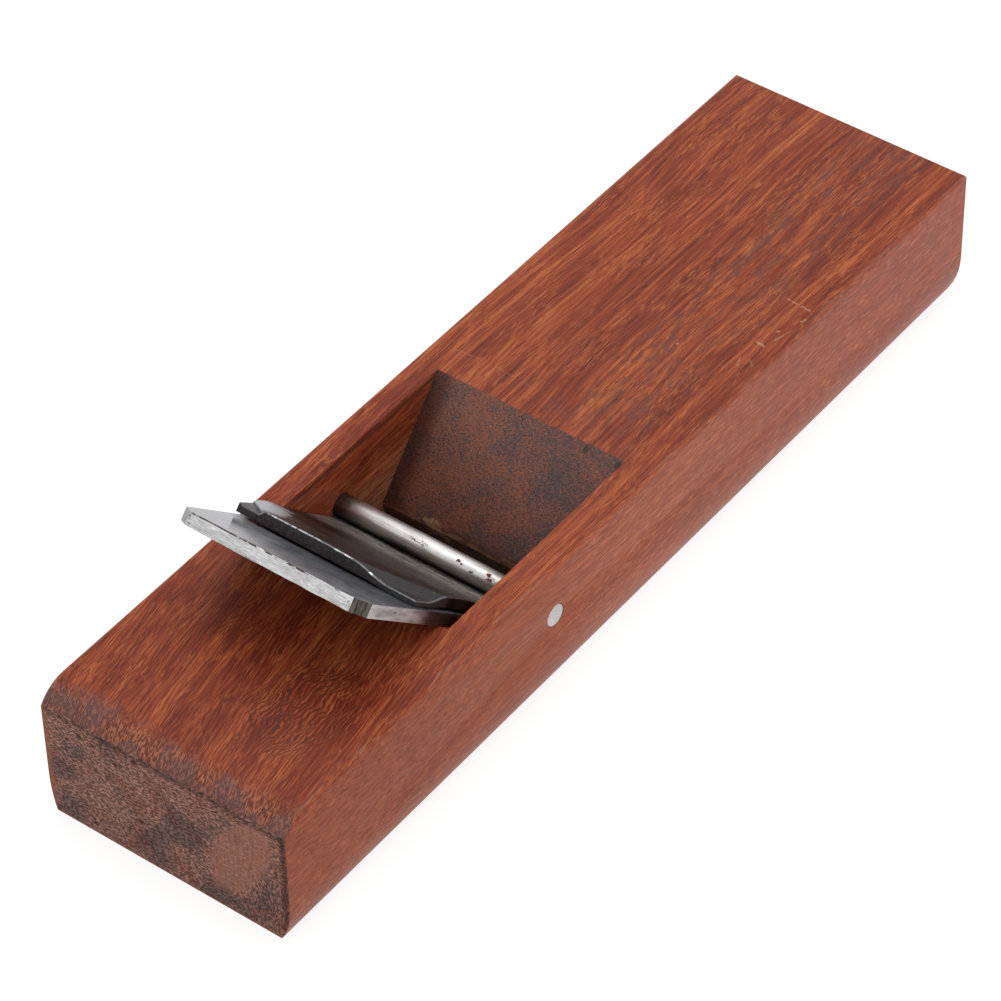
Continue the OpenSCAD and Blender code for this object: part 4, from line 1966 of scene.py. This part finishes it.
@dataclass
class PlaneIron:
    """Laminated iron: soft forged back and hard steel face."""

    bed: Bed
    length: float = 90.8 * MM
    width: float = 49 * MM
    thick: float = 3.1 * MM
    bevel_angle: float = 28.0
    corners: tuple[float, float] = (3 * MM, 3 * MM)
    steel_len: float = 50 * MM
    steel_t: float = 1 * MM
    hollow: float = 0.3 * MM
    land: float = 5 * MM
    retract: float = 0.4 * MM
    strips: int = 48
    hollow_strips: int = 16
    head_cuts: tuple[float, ...] = (0.3, 0.7, 1.2, 2.0, 3.0, 4.5, 7.0, 11.0)
    layer_cuts: tuple[float, ...] = (0.12, 0.35, 0.65, 0.88)
    arrises: tuple[float, float] = (0.12 * MM, 0.04 * MM)

    @property
    def half(self) -> float:
        """Half the width."""
        return self.width / 2

    @property
    def head(self) -> float:
        """Place of the head along the bed."""
        return -self.retract - self.length

    @property
    def steel_end(self) -> float:
        """Place of the steel's upper end along the bed."""
        return -self.retract - self.steel_len

    def ground(self, piece: Workpiece) -> None:
        """Grinds the bevel at the cutting edge.

        Args:
            piece: The layer of the iron that is ground.
        """
        angle = math.radians(self.bevel_angle)
        with piece.editing():
            piece.slice(
                (-self.retract, 0, 0), (math.sin(angle), 0, -math.cos(angle)), clear=True
            )

    def struck(self, place: Vector) -> Vector:
        """Hammer marks near the head.

        Args:
            place: A point of the soft back.

        Returns:
            Where the hammer left it.
        """
        near = 1 - smooth_step(self.head + 0.5 * MM, self.head + 4 * MM, place.x)
        wander = Vector((1.0, 0, 0)) * (ripple(place, 3.5 * MM, 3) * 0.10 * MM + 0.08 * MM)
        spread = 0.10 * MM * ripple(place, 2.5 * MM, 9)
        lift = spread if place.z > -self.thick / 2 else -spread
        return place + near * (wander + Vector((0, 0, lift - 0.02 * MM)))

    def hollowed(self, place: Vector) -> Vector:
        """The shallow hollow in the flat face.

        Args:
            place: A point of the hard face.

        Returns:
            Its place in the hollow, or the same place outside it.
        """
        inner = self.half - self.land
        low = self.steel_end + self.land + 0.5 * MM
        high = -self.retract - self.land - 0.5 * MM
        if place.z < -TINY or not low < place.x < high or abs(place.y) > inner:
            return place
        return place - Vector((0, 0, self.hollow * (1 - (place.y / inner) ** 2)))

    def finish(self, piece: Workpiece, arris: float, material: bpy.types.Material) -> None:
        """Eases a layer's edges, lays it on the bed and dresses it.

        Args:
            piece: The layer.
            arris: Width of the eased edges.
            material: Its material.
        """
        piece.ease(arris, 2, 35)
        piece.place(self.bed.matrix())
        piece.shade()
        piece.dress(material)

    def back(self) -> None:
        """Builds and dresses the soft back with its struck head."""
        half, head = self.half, self.head
        piece = Workpiece.cuboid(
            "iron_soft_back", (head, -half, -self.thick), (self.steel_end, half, 0)
        )
        with piece.editing():
            piece.slice((0, 0, -self.steel_t), (0, 0, 1))
            piece.pick(Domain.FACES, lambda c, n: n.x > 0.9 and c.z < -self.steel_t)
            piece.extrude((self.steel_len, 0, 0))
        self.ground(piece)
        with piece.editing():
            for side, corner in zip((-1, 1), self.corners):
                piece.slice((head + corner, side * half, 0), (-1, side, 0), clear=True)
            for step in range(1, self.strips):
                piece.slice((0, -half + self.width * step / self.strips, 0), (0, 1, 0))
            for near in self.head_cuts:
                piece.slice((head + near * MM, 0, 0), (1, 0, 0))
            for share in self.layer_cuts:
                piece.slice((0, 0, -self.thick * share), (0, 0, 1))
        piece.sculpt(self.struck)
        self.finish(piece, self.arrises[0], IronSkin(self.thick, head).material(self.bed))
        piece.stand_for("iron_back", "iron", "iron")

    def face(self) -> None:
        """Builds and dresses the hard steel face with its hollow."""
        half = self.half
        piece = Workpiece.cuboid(
            "iron_hard_face", (self.steel_end, -half, -self.steel_t), (2 * MM, half, 0)
        )
        self.ground(piece)
        with piece.editing():
            low, high = self.steel_end + self.land, -self.retract - self.land
            inner = half - self.land
            for x in (low, low + MM, high - MM, high):
                piece.slice((x, 0, 0), (1, 0, 0))
            for step in range(self.hollow_strips + 1):
                piece.slice((0, -inner + 2 * inner * step / self.hollow_strips, 0), (0, 1, 0))
        piece.sculpt(self.hollowed)
        self.finish(piece, self.arrises[1], HardSteel().material(self.bed))
        piece.stand_for("cutting_steel", "iron", "hard_steel")


@dataclass
class ChipBreaker:
    """Chip breaker with its two hammered ears."""

    bed: Bed
    length: float = 67.5 * MM
    width: float = 47.6 * MM
    shift: float = 0.6 * MM
    front: float = -1.2 * MM
    top: float = 2.6 * MM
    head_top: float = 3.45 * MM
    rise: float = 0.6 * MM
    nose: float = 9 * MM
    taper: float = 22 * MM
    lip: float = 0.7 * MM
    clear: float = 0.02 * MM
    cell: float = 0.55 * MM
    worn: float = 0.28 * MM
    right_ear: tuple[float, float] = (13.5 * MM, 18 * MM)
    left_ear: tuple[float, float] = (5.6 * MM, 6.2 * MM)
    bent: tuple[float, float] = (12 * MM, 15 * MM)
    thickening: tuple[float, float] = (32 * MM, 11 * MM)
    right_fall: tuple[float, float] = (1.75 * MM, 0.22 * MM)
    left_fall: tuple[float, float] = (0.60 * MM, 0.50 * MM)
    left_groove: float = 0.16 * MM
    hump: tuple[float, float, float] = (9.5 * MM, 8.5 * MM, 0.4 * MM)
    dents: float = 0.05 * MM

    @property
    def half(self) -> float:
        """Half the width."""
        return self.width / 2

    @property
    def head(self) -> float:
        """Place of the head along the bed."""
        return self.front - self.length

    def upper(self, x: float, y: float) -> float:
        """Height of the top at a place on the plate.

        Args:
            x: Place along the bed.
            y: Place across it.

        Returns:
            The height.
        """
        from_head, from_edge = x - self.head, self.front - x
        thicker = smooth_step(*self.thickening, from_head)
        height = self.top + (self.head_top - self.top) * thicker
        # Right ear: a wide slope down to the corner
        right = from_head / self.right_ear[0] + (y + self.half) / self.right_ear[1]
        height -= self.right_fall[0] * smooth_step(1.0, 0.42, right)
        height -= self.right_fall[1] * smooth_step(1.5, 0.9, right)
        # Left ear: a small step down behind a hump
        inwards = self.half - y
        left = from_head / self.left_ear[0] + inwards / self.left_ear[1]
        at_corner = smooth_step(0.0, 1.5 * MM, inwards) * smooth_step(2.6 * MM, 0.0, from_head)
        middle, radius, swell = self.hump
        from_hump = math.hypot(from_head - middle, inwards * 0.75) / radius
        height += swell * smooth_step(1.0, 0.0, from_hump)
        fall = self.left_fall[0] + self.left_fall[1] * at_corner
        height -= fall * smooth_step(1.04, 0.90, left)
        height -= self.left_groove * smooth_step(0.16, 0.0, abs(left - 0.95))
        height += self.dents * ripple(Vector((x, y, 0)), 5 * MM, 4)
        # Taper down to the edge, with a steep lip at its end
        if from_edge < self.taper:
            slope = (self.top - self.lip - self.clear) / (self.taper - self.lip)
            height = self.lip + self.clear + (from_edge - self.lip) * slope
            height = min(height, self.clear + from_edge)
        return max(height, self.clear + 0.02 * MM)

    def lower(self, x: float, y: float) -> float:
        """Height of the underside at a place on the plate.

        Args:
            x: Place along the bed.
            y: Place across it.

        Returns:
            The height.
        """
        from_head, from_edge = x - self.head, self.front - x
        across = from_head / self.bent[0] + (y + self.half) / self.bent[1]
        ears = 1 - smooth_step(0.2, 1.0, across)
        height = self.rise - (self.rise - self.clear) * ears
        if from_edge < self.nose:
            height = self.clear + (height - self.clear) * from_edge / self.nose
        return height

    def hammered(self, place: Vector) -> Vector:
        """Puts a point of the slab on the top or the underside.

        Args:
            place: The point.

        Returns:
            Its place on the hammered plate.
        """
        surface = self.upper if place.z > MM / 2 else self.lower
        height = surface(place.x, place.y)
        near = 1 - smooth_step(0, 1.5 * MM, place.x - self.head)
        wander = near * (0.10 * MM + 0.14 * MM * ripple(Vector((0, place.y, height)), 4 * MM, 2))
        return Vector((place.x + wander, place.y, height))

    def on_edge(self, start: Vector, end: Vector) -> bool:
        """Whether an edge of the mesh is one of the top's outer edges.

        Args:
            start: One end of the edge.
            end: Its other end.

        Returns:
            Whether it runs along the head or a side, at the top.
        """
        at_head = all(p.x < self.head + 0.42 * MM and p.z > 1.0 * MM for p in (start, end))
        at_side = all(self.half - abs(p.y) < 0.01 * MM and p.z > 1.3 * MM for p in (start, end))
        return at_head or at_side

    def build(self) -> None:
        """Builds and dresses the chip breaker."""
        half, head = self.half, self.head
        cells = (round(self.length / self.cell), round(self.width / self.cell))
        piece = Workpiece.slab("breaker_plate", (head, -half, 0), (self.front, half, MM), cells)
        piece.sculpt(self.hammered)
        skin = HammeredSteel(head, half, self.shift, self.right_ear, self.left_ear)
        piece.dress(skin.material(self.bed), WornEdge().material(self.bed))
        with piece.editing():
            piece.pick(Domain.EDGES, self.on_edge)
            piece.bevel(self.worn, 3, material=1)
        piece.place(self.bed.matrix() @ Matrix.Translation((0, self.shift, 0)))
        piece.shade(40)
        piece.stand_for("chip_breaker", "breaker", "breaker_steel")


@dataclass
class Studio:
    """Pale floor, soft light and the camera."""

    eye: tuple[float, float, float] = (-0.586550, -0.446673, 0.713592)
    turn: tuple[float, float, float] = (46.358837, 0.936865, -53.078657)
    lens: float = 164.5416
    floor_size: float = 12.0
    ambient: float = 0.62
    overhead: float = 9.0
    lamp_place: tuple[float, float, float] = (0.35, 0.1, 1.6)
    lamp_size: float = 1.4
    paper_glow: float = 0.82
    paper_seen: Colour = (0.34, 0.34, 0.34)
    paper_lighting: Colour = (0.8, 0.8, 0.8)

    def floor(self) -> None:
        """Lays the floor, which shows white but keeps the object's shadow."""
        deselect_all()
        bpy.ops.mesh.primitive_plane_add(size=self.floor_size)
        piece = Workpiece("studio_floor")
        r = Recipe("studio_paper")
        path = r.node("ShaderNodeLightPath")
        seen = r.most(path.outputs["Is Camera Ray"], path.outputs["Is Glossy Ray"])
        seen = r.most(seen, path.outputs["Is Transmission Ray"])
        glow = r.node("ShaderNodeEmission")
        r.feed(glow.inputs["Strength"], r.times(seen, self.paper_glow))
        matt = r.node("ShaderNodeBsdfDiffuse")
        r.feed(matt.inputs["Color"], r.mix(seen, self.paper_lighting, self.paper_seen))
        both = r.node("ShaderNodeAddShader")
        r.feed(both.inputs[0], glow.outputs[0])
        r.feed(both.inputs[1], matt.outputs[0])
        output = r.node("ShaderNodeOutputMaterial")
        r.feed(output.inputs[0], both.outputs[0])
        piece.dress(r.material)

    def lights(self) -> None:
        """Hangs one large soft lamp overhead and sets the sky."""
        deselect_all()
        bpy.ops.object.light_add(type="AREA", location=self.lamp_place)
        lamp = bpy.context.object
        lamp.name = "overhead_lamp"
        lamp.data.shape = "DISK"
        lamp.data.size = self.lamp_size
        lamp.data.energy = self.overhead
        lamp.rotation_euler = (Vector((0, 0, 0)) - lamp.location).to_track_quat("-Z", "Y").to_euler()
        world = bpy.data.worlds.new("studio_sky")
        bpy.context.scene.world = world
        world.use_nodes = True
        tree = world.node_tree
        back = tree.nodes["Background"]
        path = tree.nodes.new("ShaderNodeLightPath")
        seen = path.outputs["Is Camera Ray"]
        for ray in ("Is Glossy Ray", "Is Transmission Ray"):
            either = tree.nodes.new("ShaderNodeMath")
            either.operation = "MAXIMUM"
            tree.links.new(seen, either.inputs[0])
            tree.links.new(path.outputs[ray], either.inputs[1])
            seen = either.outputs[0]
        level = tree.nodes.new("ShaderNodeMapRange")
        tree.links.new(seen, level.inputs["Value"])
        level.inputs["To Min"].default_value = self.ambient
        level.inputs["To Max"].default_value = 1.0
        tree.links.new(level.outputs[0], back.inputs["Strength"])
        back.inputs["Color"].default_value = (1, 1, 1, 1)

    def camera(self) -> None:
        """Sets up the camera."""
        deselect_all()
        bpy.ops.object.camera_add(
            location=self.eye, rotation=tuple(math.radians(a) for a in self.turn)
        )
        camera = bpy.context.object
        camera.name = "studio_camera"
        camera.data.lens = self.lens
        camera.data.sensor_width = 36.0
        camera.data.clip_start = 0.05
        camera.data.clip_end = 50.0
        bpy.context.scene.camera = camera
        bpy.context.scene.view_settings.view_transform = "Standard"

    def build(self) -> None:
        """Builds the whole studio."""
        self.floor()
        self.lights()
        self.camera()


def main() -> None:
    """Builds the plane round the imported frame."""
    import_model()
    bed = Bed()
    pin = CrossPin()
    Block(bed).build(pin)
    pin.build()
    iron = PlaneIron(bed)
    iron.back()
    iron.face()
    ChipBreaker(bed).build()
    Studio().build()


if __name__ == "__main__":
    main()
